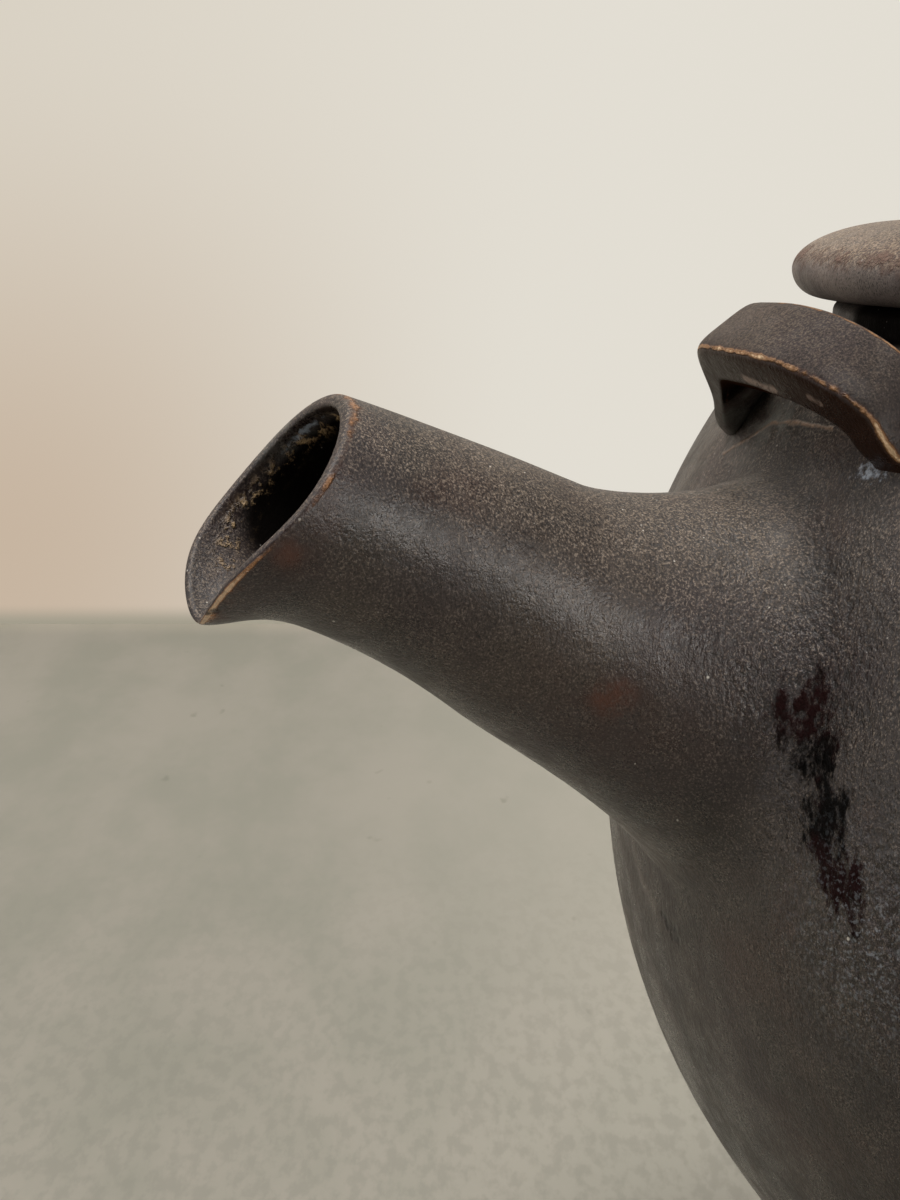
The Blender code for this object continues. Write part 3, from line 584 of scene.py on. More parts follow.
def potProfile():
    radius, rise, drop, belly = wall["radius"], wall["rise"], wall["drop"], wall["belly"]
    inner = [value - wall["thickness"] for value in (radius, rise, drop)]
    shoulder = belly + pot["shoulderRise"]
    ceiling = shoulder - wall["thickness"]
    top = shoulder + pot["ledge"] + pot["collar"]
    floorAngle = -math.asin((belly - pot["floor"]) / inner[2])
    ceilingAngle = math.asin((ceiling - belly) / inner[1])
    inside = ellipseArc(inner[0], inner[2], belly, floorAngle, 0.0, 24)
    inside += ellipseArc(inner[0], inner[1], belly, 0.0, ceilingAngle, 16)[1:]
    outside = ellipseArc(radius, rise, belly, math.acos(pot["shoulderRadius"] / radius), 0.0, 44)
    outside += ellipseArc(radius, drop, belly, 0.0, -math.acos(pot["footRadius"] / radius), 44)[1:]
    ledgeIn = (pot["collarRadius"], shoulder + pot["ledge"])
    rimOut, rimIn = (pot["collarRadius"], top), (pot["mouthRadius"], top)
    neck = (pot["mouthRadius"], ceiling)
    footTop, footLow = (pot["footRadius"], pot["footHeight"]), (pot["footRadius"] - pot["footDraft"], 0.0)
    profile = [(0.0, pot["floor"])] + roundCorner((0.0, pot["floor"]), inside[0], inside[1], 0.004, 5)
    profile += inside[1:] + [neck] + roundCorner(neck, rimIn, rimOut, 0.001, 6)
    profile += roundCorner(rimIn, rimOut, ledgeIn, 0.001, 6)
    profile += roundCorner(rimOut, ledgeIn, outside[0], 0.0004, 3)
    profile += roundCorner(ledgeIn, outside[0], outside[2], 0.0016, 6) + outside[2:-2]
    profile += roundCorner(outside[-2], footTop, footLow, 0.0015, 5)
    profile += roundCorner(footTop, footLow, (0, 0), 0.0008, 5) + [(0.0, 0.0)]
    return profile


def nearTurn(p):
    # degrees round from the spout towards the near side
    return math.degrees(math.atan2(-p.y, -p.x))


run = {
    "top": 0.0615, "length": 0.0140, "turn": 13.0, "slant": 4.6, "width": 1.7, "swell": 1.2, "swellAt": 0.65,
    "narrow": 0.7, "front": (-0.0605, -0.0570), "redAt": ((0.0608, 0.0022), (0.0490, 0.0026)),
}
# degrees round and their spread, height and its spread
skinPatches = {
    "pits": (19.5, 6.5, 0.0455, 0.0060), "beside": (13.5, 6.0, 0.0635, 0.0068),
    "above": (4.0, 9.0, 0.0740, 0.0030), "below": (17.0, 5.0, 0.0540, 0.0070),
}
# place, spread and share
stains = (
    ((-0.0655, -0.0086, 0.0610), 0.0016, 0.60), ((-0.0655, -0.0086, 0.0605), 0.0062, 0.48),
    ((-0.0860, -0.0064, 0.0709), 0.0021, 0.85),
)
# the pale patina patch under the lug's loop also paints light into its shade; the pale bluish patch is a
# painted reflection
# share, place across and its spread, height and its spread
frontPatches = {
    "patinaAndPaintedLight": (0.60, 0.0055, 0.0045, 0.0766, 0.0014), "paintedSkyGleam": (0.90, -0.0096, 0.0020, 0.0746, 0.0007),
}


def runMask(p):
    # the run falls from beside the spout's root, slanting a little to the near side
    drop = (run["top"] - p.z) / run["length"]
    if not -0.3 < drop < 1.3 or p.x > 0:
        return 0.0
    aside = abs(nearTurn(p) - run["turn"] - run["slant"] * min(max(drop, 0.0), 1.1))
    width = run["width"] + run["swell"] * bell(drop - run["swellAt"], 0.3)
    width -= run["narrow"] * smoothStep(0.8, 1.0, drop)
    edge = smoothStep(1.35 * width, 0.45 * width, aside) * smoothStep(*run["front"], p.x)
    return edge * smoothStep(-0.2, 0.1, drop) * smoothStep(1.22, 0.9, drop)


def redMask(p):
    return max(bell(p.z - height, spread) for height, spread in run["redAt"])


def skinPatch(p, name):
    turn, turnSpread, height, heightSpread = skinPatches[name]
    return bell(nearTurn(p) - turn, turnSpread) * bell(p.z - height, heightSpread)


def roughMask(p):
    beside = 1.1 * skinPatch(p, "beside") * smoothStep(-0.062, -0.057, p.x)
    above = 0.55 * skinPatch(p, "above") * smoothStep(-0.059, -0.056, p.x)
    return min(above + beside + 0.45 * skinPatch(p, "below") + 0.85 * skinPatch(p, "pits"), 1.0)


def stainMask(p):
    if p.y > 0 or p.x > -0.055:
        return 0.0
    return min(sum(share * bell((p - Vector(place)).length, spread) for place, spread, share in stains), 1.0)


def frontPatch(p, name):
    share, across, acrossSpread, height, heightSpread = frontPatches[name]
    shape = bell(p.y - across, acrossSpread) * bell(p.z - height, heightSpread)
    return share * shape * smoothStep(0, -0.01, p.x)


# the pale bluish painted reflection lies below the near foot of the lug
glazeMasks = {
    "run": runMask, "red": redMask, "rough": roughMask, "stain": stainMask,
    "pits": lambda p: skinPatch(p, "pits"), "patinaAndPaintedLight": lambda p: frontPatch(p, "patinaAndPaintedLight"),
    "paintedSkyGleam": lambda p: frontPatch(p, "paintedSkyGleam"),
}


def makeBody():
    piece = turnPiece("potBody", potProfile(), pot["segments"])
    centre = onWall(rootDirection())
    cutWith(piece, addRod(96, spoutRoot["opening"], 0.014, centre, wallNormal(centre)))
    shadeRound(piece, 40)
    for name, rule in glazeMasks.items():
        maskByPlace(piece, name, rule)
    # painted shade: the inside of the pot is darkened, and the collar under the lid is near black but for its
    # lit left end
    maskByPlace(piece, "inner", lambda p: 0.6 if insideWall(p) else collarShade(p))
    lines = []
    for name in ("ridge", "streak"):
        places = [toWall(p) for p in pot[name]]
        lines += [(a, b, *pot[name + "Look"]) for a, b in zip(places, places[1:])]
    x, y, z = pot["scarPlace"]
    for dy, dz, size in pot["scars"]:
        a = toWall((x, y + dy, z + dz))
        lines.append((a, a + Vector((0, -2.0 * size, 0)), size, *pot["scarLook"]))
    finishPiece(piece, glazeMaterial("potGlaze", lines=lines), "pot", "body_shell")


collarShadow = {
    "out": (0.0440, 0.0412), "height": (0.0790, 0.0808), "litWay": (-0.93, 0.366), "litEnd": (0.986, 0.996),
}


def collarShade(p):
    # no light gets in under the lid, but for the collar's left end
    s = collarShadow
    out = math.hypot(p.x, p.y)
    left = (s["litWay"][0] * p.x + s["litWay"][1] * p.y) / max(out, 0.001)
    lit = 0.6 * smoothStep(*s["litEnd"], left)
    return smoothStep(*s["out"], out) * smoothStep(*s["height"], p.z) * (1.0 - lit)


def insideWall(p):
    # nearer to the inner face than to the outer one; the collar's own band is shaded apart
    level, out, half = p.z - wall["belly"], math.hypot(p.x, p.y), 0.5 * wall["thickness"]
    within = (out / (wall["radius"] - half)) ** 2 + (level / (wallRise(level) - half)) ** 2 < 1.0
    return within and pot["footHeight"] < p.z < (0.0788 if out > 0.0355 else 0.0835)


# Spout

spout = {
    "reach": 0.0285, "lift": 0.0151, "rootSlope": 30.0, "mouthSlope": 17.0, "mouthRadius": 0.00725,
    "throatRadius": 0.0084, "skirtShare": 0.46, "taper": 2.0, "pull": 0.36, "mouthWall": 0.0014,
    "throatWall": 0.0028, "skirtWide": 0.0158, "skirtUp": 0.0188, "skirtDown": 0.0158, "boreRoot": 0.0118,
    "leave": 0.55, "land": 0.8, "tilt": 18.0, "tiltShare": 0.42, "lipDrop": 0.0016, "rimThin": 0.30,
    "lipThin": 0.32, "lipSpread": 40.0, "lipPinch": 0.22, "lipReach": 0.00121, "lipFlank": 46.0,
    "lipShare": 0.20, "sides": 144, "hornSteps": 74, "skirtSteps": 46, "rimSteps": 14,
    # start, end, width, colour, strength and height of the marks on the lip's tip
    "tip": (
        ((-0.0899, -0.0008, 0.0676), (-0.0898, -0.0014, 0.0670), 0.00045, (0.42, 0.19, 0.085, 1), 1.0, 0.6),
        ((-0.0898, -0.0022, 0.0668), (-0.0893, -0.003, 0.0669), 0.0004, (0.008, 0.004, 0.003, 1), 0.9, -1.5)),
}
sideTurns = [2 * math.pi * i / spout["sides"] for i in range(spout["sides"])]


def sideAndUp(along):
    side = Vector((0, 1, 0))
    up = side.cross(along)
    return side, -up if up.z < 0 else up


def slopeWay(degrees):
    return Vector((-math.cos(math.radians(degrees)), 0, math.sin(math.radians(degrees))))


def spoutAxis(t):
    root = onWall(rootDirection())
    mouth = Vector((-wall["radius"] - spout["reach"], 0, spoutRoot["height"] + spout["lift"]))
    pull = (mouth - root).length * spout["pull"]
    first = root + slopeWay(spout["rootSlope"]) * pull
    second = mouth - slopeWay(spout["mouthSlope"]) * pull
    left = 1 - t
    point = root * left ** 3 + first * (3 * t * left ** 2) + second * (3 * t * t * left) + mouth * t ** 3
    along = (first - root) * left ** 2 + (second - first) * (2 * t * left) + (mouth - second) * t * t
    return point, along.normalized()


def spoutRing(t, inset, forward=0.0):
    # inset 0 is the outer face, 1 the bore
    centre, along = spoutAxis(t)
    side, up = sideAndUp(along)
    share = (1.0 - t) / (1.0 - spout["skirtShare"])
    radius = spout["mouthRadius"] + (spout["throatRadius"] - spout["mouthRadius"]) * share ** spout["taper"]
    thickness = spout["mouthWall"] + (spout["throatWall"] - spout["mouthWall"]) * min(share, 1.0)
    nearMouth = smoothStep(0.75, 1.0, t)
    lip = smoothStep(1.0 - spout["lipShare"], 1.0, t)
    lean = math.tan(math.radians(spout["tilt"])) * smoothStep(1.0 - spout["tiltShare"], 1.0, t)
    ring = []
    for turn in sideTurns:
        across, height = math.cos(turn), math.sin(turn)
        fromLow = math.degrees(abs(math.atan2(across, -height)))
        low = lip * bell(fromLow, spout["lipSpread"])
        flank = lip * bell(fromLow - spout["lipFlank"], spout["lipSpread"])
        # the clay is drawn thinner towards the lip
        thin = 1.0 - nearMouth * (spout["rimThin"] + spout["lipThin"] * bell(fromLow, 75.0))
        span = radius - thickness * inset * thin
        point = centre + side * (span * across * (1.0 - spout["lipPinch"] * low))
        point += up * (span * height - spout["lipDrop"] * low * lip)
        point += along * (forward * thin - span * height * lean + spout["lipReach"] * flank)
        ring.append(point)
    return ring


def skirtRing(share, lift):
    # share 0 is the skirt's edge on the wall, 1 the root of the bore
    middle = rootDirection()
    side, up = sideAndUp(middle)
    reach = (onWall(middle) - bellyCentre).length
    wide, high, low = [
        edge + (spout["boreRoot"] - edge) * share
        for edge in (spout["skirtWide"], spout["skirtUp"], spout["skirtDown"])]
    ring = []
    for turn in sideTurns:
        rise = (high if math.sin(turn) > 0 else low) * math.sin(turn)
        ring.append(onWall((middle * reach + side * (wide * math.cos(turn)) + up * rise).normalized(), lift))
    return ring


def flareRing(t, start, before, landing, beyond):
    # leaves the horn along its own slope and lands in the wall's
    ring = []
    for p, back, q, off in zip(start, before, landing, beyond):
        span = (q - p).length
        leave = (p - back).normalized() * span * spout["leave"]
        land = (off - q).normalized() * span * spout["land"]
        point = p * (2 * t ** 3 - 3 * t * t + 1) + leave * (t ** 3 - 2 * t * t + t)
        point += q * (3 * t * t - 2 * t ** 3) + land * (t ** 3 - t * t)
        # the last of the flare is smoothed into the wall
        lift = wallLift(point)
        settle = 1.0 - smoothStep(-0.0002, 0.0014, lift)
        ring.append(point - wallNormal(point) * settle * (lift + 0.00002))
    return ring


def rimWear(distance, strength=1.0):
    # the near lower rim is the most worn, then the near top, and the far rim the least
    row = []
    for degrees in map(math.degrees, sideTurns):
        low, top, tip = bell(degrees - 240.0, 26.0), bell(degrees - 112.0, 24.0), bell(degrees - 275.0, 6.0)
        edge = bell(distance, 0.00013 + 0.00022 * top + 0.00004 * low + 0.0001 * tip)
        stained = bell(distance, 0.0014) * (0.10 + 0.40 * low + 0.20 * top)
        row.append(strength * ((0.34 + 0.74 * low + 0.22 * top + 0.60 * tip) * edge + stained))
    return row


def boreMasks(distance):
    # painted shade from a little way in, with a band of gold grains before that and a painted pale reflection
    # on top
    rows = {"wear": rimWear(distance + 0.0001, 0.3), "inner": [], "gold": [], "paintedSkyGleam": []}
    for turn in sideTurns:
        low = max(-math.sin(turn), 0.0)
        rows["inner"].append(smoothStep(0.0005 + 0.0022 * low * low, 0.0014 + 0.0070 * low * low, distance))
        band = bell(distance - 0.0011 - 0.0016 * low * low, 0.0006) * smoothStep(0.92, 0.6, low)
        rows["gold"].append(band * smoothStep(-0.35, 0.5, math.cos(turn)))
        rows["paintedSkyGleam"].append(0.9 * bell(distance - 0.0005, 0.0004) * bell(math.degrees(turn) - 46.0, 20.0))
    return rows


def makeSpout():
    horn = 1.0 - spout["skirtShare"]
    stations = [1.0 - horn * (step / spout["hornSteps"]) ** 1.5 for step in range(spout["hornSteps"] + 1)]
    mouth, last = spoutAxis(1.0)[0], stations[-1]
    rings, masks = [], {"wear": [], "inner": [], "gold": [], "paintedSkyGleam": []}

    def addRing(ring, **rows):
        rings.append(ring)
        for name, values in masks.items():
            values.extend(rows.get(name, [0.0] * spout["sides"]))

    for t in stations:
        addRing(spoutRing(t, 0.0), wear=rimWear((spoutAxis(t)[0] - mouth).length))
    ends = rings[-1], spoutRing(last + 0.004, 0.0), skirtRing(0.0, -0.00004), skirtRing(-0.02, -0.00004)
    for step in range(1, spout["skirtSteps"] + 1):
        addRing(flareRing(step / spout["skirtSteps"], *ends))
    addRing(skirtRing(0.0, -0.0004))
    addRing(skirtRing(0.5, -0.0004))
    boreRoot, boreStart = skirtRing(1.0, 0.0001), spoutRing(last, 1.0)
    # painted shade deep in the bore
    addRing(boreRoot, inner=[0.9] * spout["sides"])
    addRing([(p + q) * 0.5 for p, q in zip(boreRoot, boreStart)], inner=[1.0] * spout["sides"])
    for t in reversed(stations):
        addRing(spoutRing(t, 1.0), **boreMasks((spoutAxis(t)[0] - mouth).length))
    for step in range(1, spout["rimSteps"]):
        angle = math.pi * step / spout["rimSteps"]
        c, s = math.cos(math.pi - angle), math.sin(angle)
        inset = 0.5 - 0.5 * math.copysign(abs(c) ** 0.7, c)
        addRing(spoutRing(1.0, inset, 0.5 * spout["mouthWall"] * s ** 0.7), wear=rimWear(0.0022 * inset))
    piece = loftPiece("spoutHorn", rings, True)
    shadeRound(piece, 60)
    # near the wall the skin is shaded as the wall is, so that no edge shows
    skinned = (len(stations) + spout["skirtSteps"]) * spout["sides"]
    normals = []
    for vertex in piece.data.vertices:
        share = smoothStep(0.0036, -0.0002, wallLift(vertex.co)) if vertex.index < skinned else 0.0
        normals.append(vertex.normal.lerp(wallNormal(vertex.co), share).normalized())
    piece.data.normals_split_custom_set_from_vertices(normals)
    for name, rule in glazeMasks.items():
        if name != "paintedSkyGleam":
            maskByPlace(piece, name, rule)
    for name, values in masks.items():
        storeMask(piece, name, values)
    finishPiece(piece, glazeMaterial("spoutGlaze", lines=spout["tip"]), "pot", "spout")


# Strainer

strainer = {
    "wall": 0.0018, "depth": 0.0065, "recess": 0.0012, "hole": 0.0012, "field": 0.68, "gap": 0.0003,
    "light": (0.20, 0.12, 0.08, 1), "dark": (0.11, 0.065, 0.045, 1),
}


def makeStrainer():
    radius, depth, thick = spoutRoot["opening"] - strainer["gap"], strainer["depth"], strainer["wall"]
    under, top = -wall["thickness"], -strainer["recess"]
    innerArc = ellipseArc(radius - thick, depth - thick, under, -0.5 * math.pi, 0.0, 14)
    outerArc = ellipseArc(radius, depth, under, 0.0, -0.5 * math.pi, 14)
    profile = innerArc + roundCorner(innerArc[-1], (radius - thick, top), (radius, top), 0.0003, 3)
    profile += roundCorner((radius - thick, top), (radius, top), outerArc[0], 0.0003, 3) + outerArc
    profile[0], profile[-1] = (0.0, profile[0][1]), (0.0, profile[-1][1])
    piece = turnPiece("strainerDome", profile, 96)
    pins = []
    for ring in range(3):
        count = max(1, 6 * ring)
        angle = math.asin(strainer["field"] * ring / 2)
        flat = (radius - 0.5 * thick) * math.sin(angle)
        low = under - (depth - 0.5 * thick) * math.cos(angle)
        normal = Vector((math.sin(angle) / radius, 0, -math.cos(angle) / depth)).normalized()
        for i in range(count):
            turn = 2 * math.pi * (i + 0.5) / count
            place = Vector((flat * math.cos(turn), flat * math.sin(turn), low))
            outward = Vector((normal.x * math.cos(turn), normal.x * math.sin(turn), normal.z))
            pins.append(addRod(20, strainer["hole"], 2.4 * thick, place, outward))
    clearSelection()
    for pin in pins:
        pin.select_set(True)
    bpy.context.view_layer.objects.active = pins[0]
    bpy.ops.object.join()
    cutWith(piece, pins[0])
    centre = onWall(rootDirection())
    piece.location = centre
    piece.rotation_euler = wallNormal(centre).to_track_quat('Z', 'Y').to_euler()
    makeActive(piece)
    bpy.ops.object.transform_apply(location=True, rotation=True, scale=True)
    shadeRound(piece, 40)
    finishPiece(piece, clayMaterial("strainerClay", strainer), "pot", "strainer")


# Lugs

lug = {
    "seatInset": 0.0086, "span": 0.011, "rise": 0.0041, "thickness": 0.0035, "breadth": 0.0052, "roll": 20.0,
    "stand": 0.35, "sides": 64, "steps": 260,
    # along and up to the inner face, lean and stand of the thickness, breadth; from the far toe
    "line": (
        (-1.02, 0.00, -0.50, 0.04, 0.92), (-0.94, 0.00, -0.54, 0.06, 0.92), (-0.84, 0.03, -0.56, 0.12, 0.90),
        (-0.72, 0.15, -0.56, 0.14, 0.88), (-0.58, 0.36, -0.58, 0.12, 0.88), (-0.44, 0.60, -0.66, 0.10, 0.88),
        (-0.32, 0.80, -0.74, 0.24, 0.90), (-0.24, 0.92, -0.76, 0.66, 0.90), (-0.19, 0.98, -0.56, 1.02, 0.92),
        (-0.08, 1.00, -0.16, 1.00, 0.96), (0.12, 1.00, 0.02, 1.02, 1.00), (0.30, 0.94, 0.16, 1.04, 1.00),
        (0.46, 0.84, 0.38, 1.03, 1.00), (0.60, 0.68, 0.62, 0.95, 1.00), (0.70, 0.52, 0.88, 0.78, 1.00),
        (0.76, 0.34, 1.06, 0.56, 1.00), (0.80, 0.16, 1.04, 0.28, 1.00), (0.82, 0.06, 1.00, 0.09, 1.02),
        (0.81, 0.03, 1.10, 0.03, 1.08), (0.79, 0.02, 1.28, 0.02, 1.14),
    ),
    # start, end, width, colour, strength and height of the painted reflections on the strap
    "shine": (
        ((-0.0530, -0.0018, 0.0801), (-0.0524, -0.0048, 0.0795), 0.0005, (0.34, 0.25, 0.20, 1), 0.75, 0.0),
        ((-0.0518, -0.0083, 0.0793), (-0.0515, -0.0090, 0.0790), 0.0004, (0.34, 0.25, 0.20, 1), 0.6, 0.0)),
}
lugEdges = {"front": 137.0, "back": 49.0, "low": 224.0}  # degrees round the strap's section
lugLook = {
    "pale": (0.052, 0.037, 0.030, 1), "dark": (0.020, 0.0135, 0.011, 1), "filmAndTopLight": 0.14,
    "roughness": (0.42, 0.54), "shine": 0.32, "dustAndGlints": 0.10, "fleck": (0.08, 0.12),
    "glossTone": (0.020, 0.0070, 0.0028, 1),
    "copper": (0.22, 0.115, 0.052, 1), "paleCopper": (0.58, 0.41, 0.25, 1),
}


def smoothLine(points, steps):
    # smooth curve that starts and ends at the outer points
    padded = [points[0]] * 2 + list(points) + [points[-1]] * 2
    spans = len(padded) - 3
    result = []
    for step in range(steps + 1):
        place = spans * step / steps
        index = min(int(place), spans - 1)
        t = place - index
        weights = (1 - t) ** 3, 3 * t ** 3 - 6 * t * t + 4, -3 * t ** 3 + 3 * t * t + 3 * t + 1, t ** 3
        result.append(weighted([weight / 6 for weight in weights], padded[index:index + 4]))
    return result


def squared(value, power):
    return math.copysign(abs(value) ** (2.0 / power), value)


def lugGrain(point, seed, degrees, along, up):
    # clay drawn in along the worn edges, most near the near foot
    nearFoot = smoothStep(0.25, 0.60, along)
    front = bell(degrees - lugEdges["front"], 7.0 + 6.0 * nearFoot)
    bead = (0.08 + 0.12 * nearFoot) * front + 0.04 * bell(degrees - lugEdges["back"], 8.0)
    inward = min(grain(point, 0.00055, seed) + 0.6 * grain(point, 0.00025, seed), 0.1)
    return 0.001 * min(up + 0.3, 1.0) * bead * inward


def lugMasks(point, degrees, along, up):
    # the lower front edge is the most worn, roughest near its foot, then the upper back edge
    nearFoot = smoothStep(0.25, 0.60, along)
    rough = nearFoot * bell(degrees - lugEdges["front"], 7.0 + 6.0 * nearFoot)
    front = bell(degrees - lugEdges["front"], 10.5 + 4.0 * nearFoot)
    back = bell(degrees - lugEdges["back"], 10.0)
    worn = (1.0 - 0.25 * nearFoot) * front + 0.85 * back * smoothStep(-0.25, 0.15, along)
    worn += 0.35 * bell(degrees - lugEdges["low"], 6.0)
    chips = grain(point, 0.0009, 7.0) + 0.7 * grain(point, 0.0004, 9.0)
    worn += 0.1 * rough + (0.4 + 0.3 * rough) * chips * max(front, back)
    darker = smoothStep(-0.32, -0.2, along) * (0.65 + 0.35 * smoothStep(-0.3, 0.3, along))
    under = smoothStep(188.0, 205.0, degrees) * smoothStep(356.0, 335.0, degrees)
    return {
        "wear": min(max(worn, 0.62 * front, 0.6 * back), 1.1),
        "gloss": darker * smoothStep(146.0, 160.0, degrees) * smoothStep(350.0, 300.0, degrees),
        # pale patina low on the far leg's under faces, also painted light in the loop's shade
        "patinaAndPaintedLight": 0.6 * smoothStep(0.55, 0.25, up) * smoothStep(0.0, -0.3, along) * under,
        # painted shade: the strap's under face inside the loop is near black
        "inner": 0.97 * smoothStep(0.35, 0.75, up) * smoothStep(0.45, 0.05, along) * under,
    }


def makeLug(name, turn, node):
    seatRadius = wall["radius"] - lug["seatInset"]
    seatHeight = wall["rise"] * math.sqrt(1.0 - (seatRadius / wall["radius"]) ** 2)
    middle = Vector((seatRadius, 0, seatHeight)).normalized()
    slopeReach = (onWall(middle) - bellyCentre).length
    slope = math.atan2(middle.z, middle.x)
    rings, masks = [], []
    for along, up, lean, stand, broad in smoothLine(lug["line"], lug["steps"]):
        halfLean, halfStand = 0.5 * lug["thickness"] * lean, 0.5 * lug["thickness"] * stand
        roll = math.radians(lug["roll"]) * smoothStep(0.0, lug["stand"], up)
        ring = []
        for side in range(lug["sides"]):
            angle = 2 * math.pi * (side + 0.5) / lug["sides"]
            degrees = math.degrees(angle)
            across = squared(math.cos(angle), 5.6) * 0.5 * lug["breadth"] * broad
            out = squared(math.sin(angle), 5.6 if degrees < 180.0 else 4.0)
            place = lug["span"] * along + halfLean * (1.0 + out)
            height = lug["rise"] * up + halfStand * (1.0 + out)
            lift = max(height * math.cos(roll) - across * math.sin(roll), 0.0)
            # the feet sink into the wall, the loop stands where it should
            lift += 0.0003 * (2.0 * smoothStep(0.0, 0.0009, lift) - 1.0)
            level = slope + (height * math.sin(roll) + across * math.cos(roll)) / slopeReach
            azimuth = turn + place / seatRadius
            flat = math.cos(level)
            direction = Vector((flat * math.cos(azimuth), flat * math.sin(azimuth), math.sin(level)))
            point = onWall(direction, lift)
            point += wallNormal(point) * lugGrain(point, turn, degrees, along, up)
            ring.append(point)
            masks.append(lugMasks(point, degrees, along, up))
        rings.append(ring)
    piece = loftPiece(name, rings, False)
    shadeRound(piece, 55)
    for mask in masks[0]:
        storeMask(piece, mask, [values[mask] for values in masks])
    finishPiece(piece, glazeMaterial(name + "Glaze", lugLook, lug["shine"]), "pot", node)


# Lid

lid = {
    "seat": 0.0844, "radius": 0.0426, "underRound": 0.002, "side": 0.0036, "topRound": 0.009, "crown": 0.0018,
    "pad": 0.0085, "vent": 0.0013, "ventPlace": 0.015, "segments": 224,
    "rimWear": (0.66, 0.0876, 0.0011, (0.036, 0.040)),  # share, height and its spread, way out
}
lidLook = {
    "dark": (0.092, 0.073, 0.064, 1), "pale": (0.172, 0.136, 0.118, 1), "filmAndTopLight": 0.75, "fleck": (0.08, 0.12),
    "roughness": (0.50, 0.62), "copper": (0.125, 0.070, 0.050, 1), "paleCopper": (0.19, 0.125, 0.095, 1),
}
flange = {
    "outer": 0.0335, "wall": 0.003, "height": 0.007, "edge": 0.0009, "draft": 0.0005, "top": 0.0841,
    "light": (0.21, 0.125, 0.085, 1), "dark": (0.12, 0.07, 0.05, 1),
}
knob = {
    "base": 0.0921, "foot": 0.0070, "waist": 0.0052, "head": 0.0090, "height": 0.0115, "crown": 0.0016,
    "line": ((0.0, 0.0), (0.05, 0.14), (0.62, 0.36), (1.0, 0.62), (0.72, 0.90)),
    "rimWear": (0.8, 0.1012, 0.0009, (0.006, 0.0078)),
}


def wearRim(piece, share, height, spread, out):
    def rule(p):
        return share * bell(p.z - height, spread) * smoothStep(*out, math.hypot(p.x, p.y))
    maskByPlace(piece, "wear", rule)


def makeLidDisc():
    widest = lid["seat"] + lid["underRound"]
    edge = lid["radius"] - lid["topRound"]
    top = widest + lid["side"] + lid["crown"]
    profile = [(0.0, top), (lid["pad"] * 0.5, top)]
    for step in range(17):
        share = step / 16
        profile.append((lid["pad"] + (edge - lid["pad"]) * share, top - lid["crown"] * share ** 2))
    profile += ellipseArc(lid["topRound"], lid["side"], widest, 0.5 * math.pi, 0.0, 32, edge)[1:]
    inset = lid["radius"] - lid["underRound"]
    profile += ellipseArc(lid["underRound"], lid["underRound"], widest, 0.0, -0.5 * math.pi, 14, inset)[1:]
    profile += [(0.02, lid["seat"]), (0.0, lid["seat"])]
    piece = turnPiece("lidDisc", profile, lid["segments"])
    cutWith(piece, addRod(40, lid["vent"], 0.03, (lid["ventPlace"], 0, 0.088)))
    shadeRound(piece, 40)
    wearRim(piece, *lid["rimWear"])
    finishPiece(piece, glazeMaterial("lidGlaze", lidLook), "lid", "lid_disc")


def makeLidFlange():
    top, bottom = flange["top"], flange["top"] - flange["height"]
    outer, inner = flange["outer"], flange["outer"] - flange["wall"]
    lowOut, lowIn = (outer - flange["draft"], bottom), (inner, bottom)
    profile = [(inner, top), (outer, top)]
    profile += roundCorner((outer, top), lowOut, lowIn, flange["edge"], 6)
    profile += roundCorner(lowOut, lowIn, (inner, top), flange["edge"], 6) + [(inner, top)]
    piece = turnPiece("lidFlange", profile, 160)
    shadeRound(piece, 40)
    finishPiece(piece, clayMaterial("flangeClay", flange), "lid", "lid_flange")


def makeKnob():
    neck = knob["height"] - knob["crown"]
    widths = [knob["waist"] + (knob["head"] - knob["waist"]) * out for out, _ in knob["line"]]
    side = [(width, knob["base"] + neck * up) for width, (_, up) in zip(widths, knob["line"])]
    side[0] = (knob["foot"], knob["base"])
    curve = smoothLine([(widths[-1], knob["base"] + neck)] + side[::-1], 40)
    crown = ellipseArc(curve[0][0], knob["crown"], curve[0][1], 0.5 * math.pi, 0.0, 14)
    crown[0] = (0.0, crown[0][1])
    piece = turnPiece("lidKnob", crown + curve[1:] + [(0.0, knob["base"])], 96)
    shadeRound(piece, 50)
    wearRim(piece, *knob["rimWear"])
    finishPiece(piece, glazeMaterial("knobGlaze"), "lid", "lid_knob")


# Stage

stage = {
    "floor": (0.186, 0.181, 0.149, 1), "floorPale": (0.220, 0.206, 0.174, 1),
    "floorLit": (0.296, 0.281, 0.240, 1), "floorEnd": (0.36, 0.32, 0.25, 1),
    "fleck": (0.128, 0.124, 0.104, 1), "smudge": (0.10, 0.095, 0.075, 1),
    "wallRight": (0.765, 0.730, 0.655, 1), "wallLeft": (0.690, 0.635, 0.545, 1),
    "wallPink": (0.570, 0.460, 0.355, 1), "seam": (0.365, 0.335, 0.262, 1),
    "wallDistance": 0.549, "turn": 21.5,
}
camera = {"place": (-0.13346, -0.15336, 0.0925), "tilt": 80.96, "turn": -21.5, "lens": 78.0}


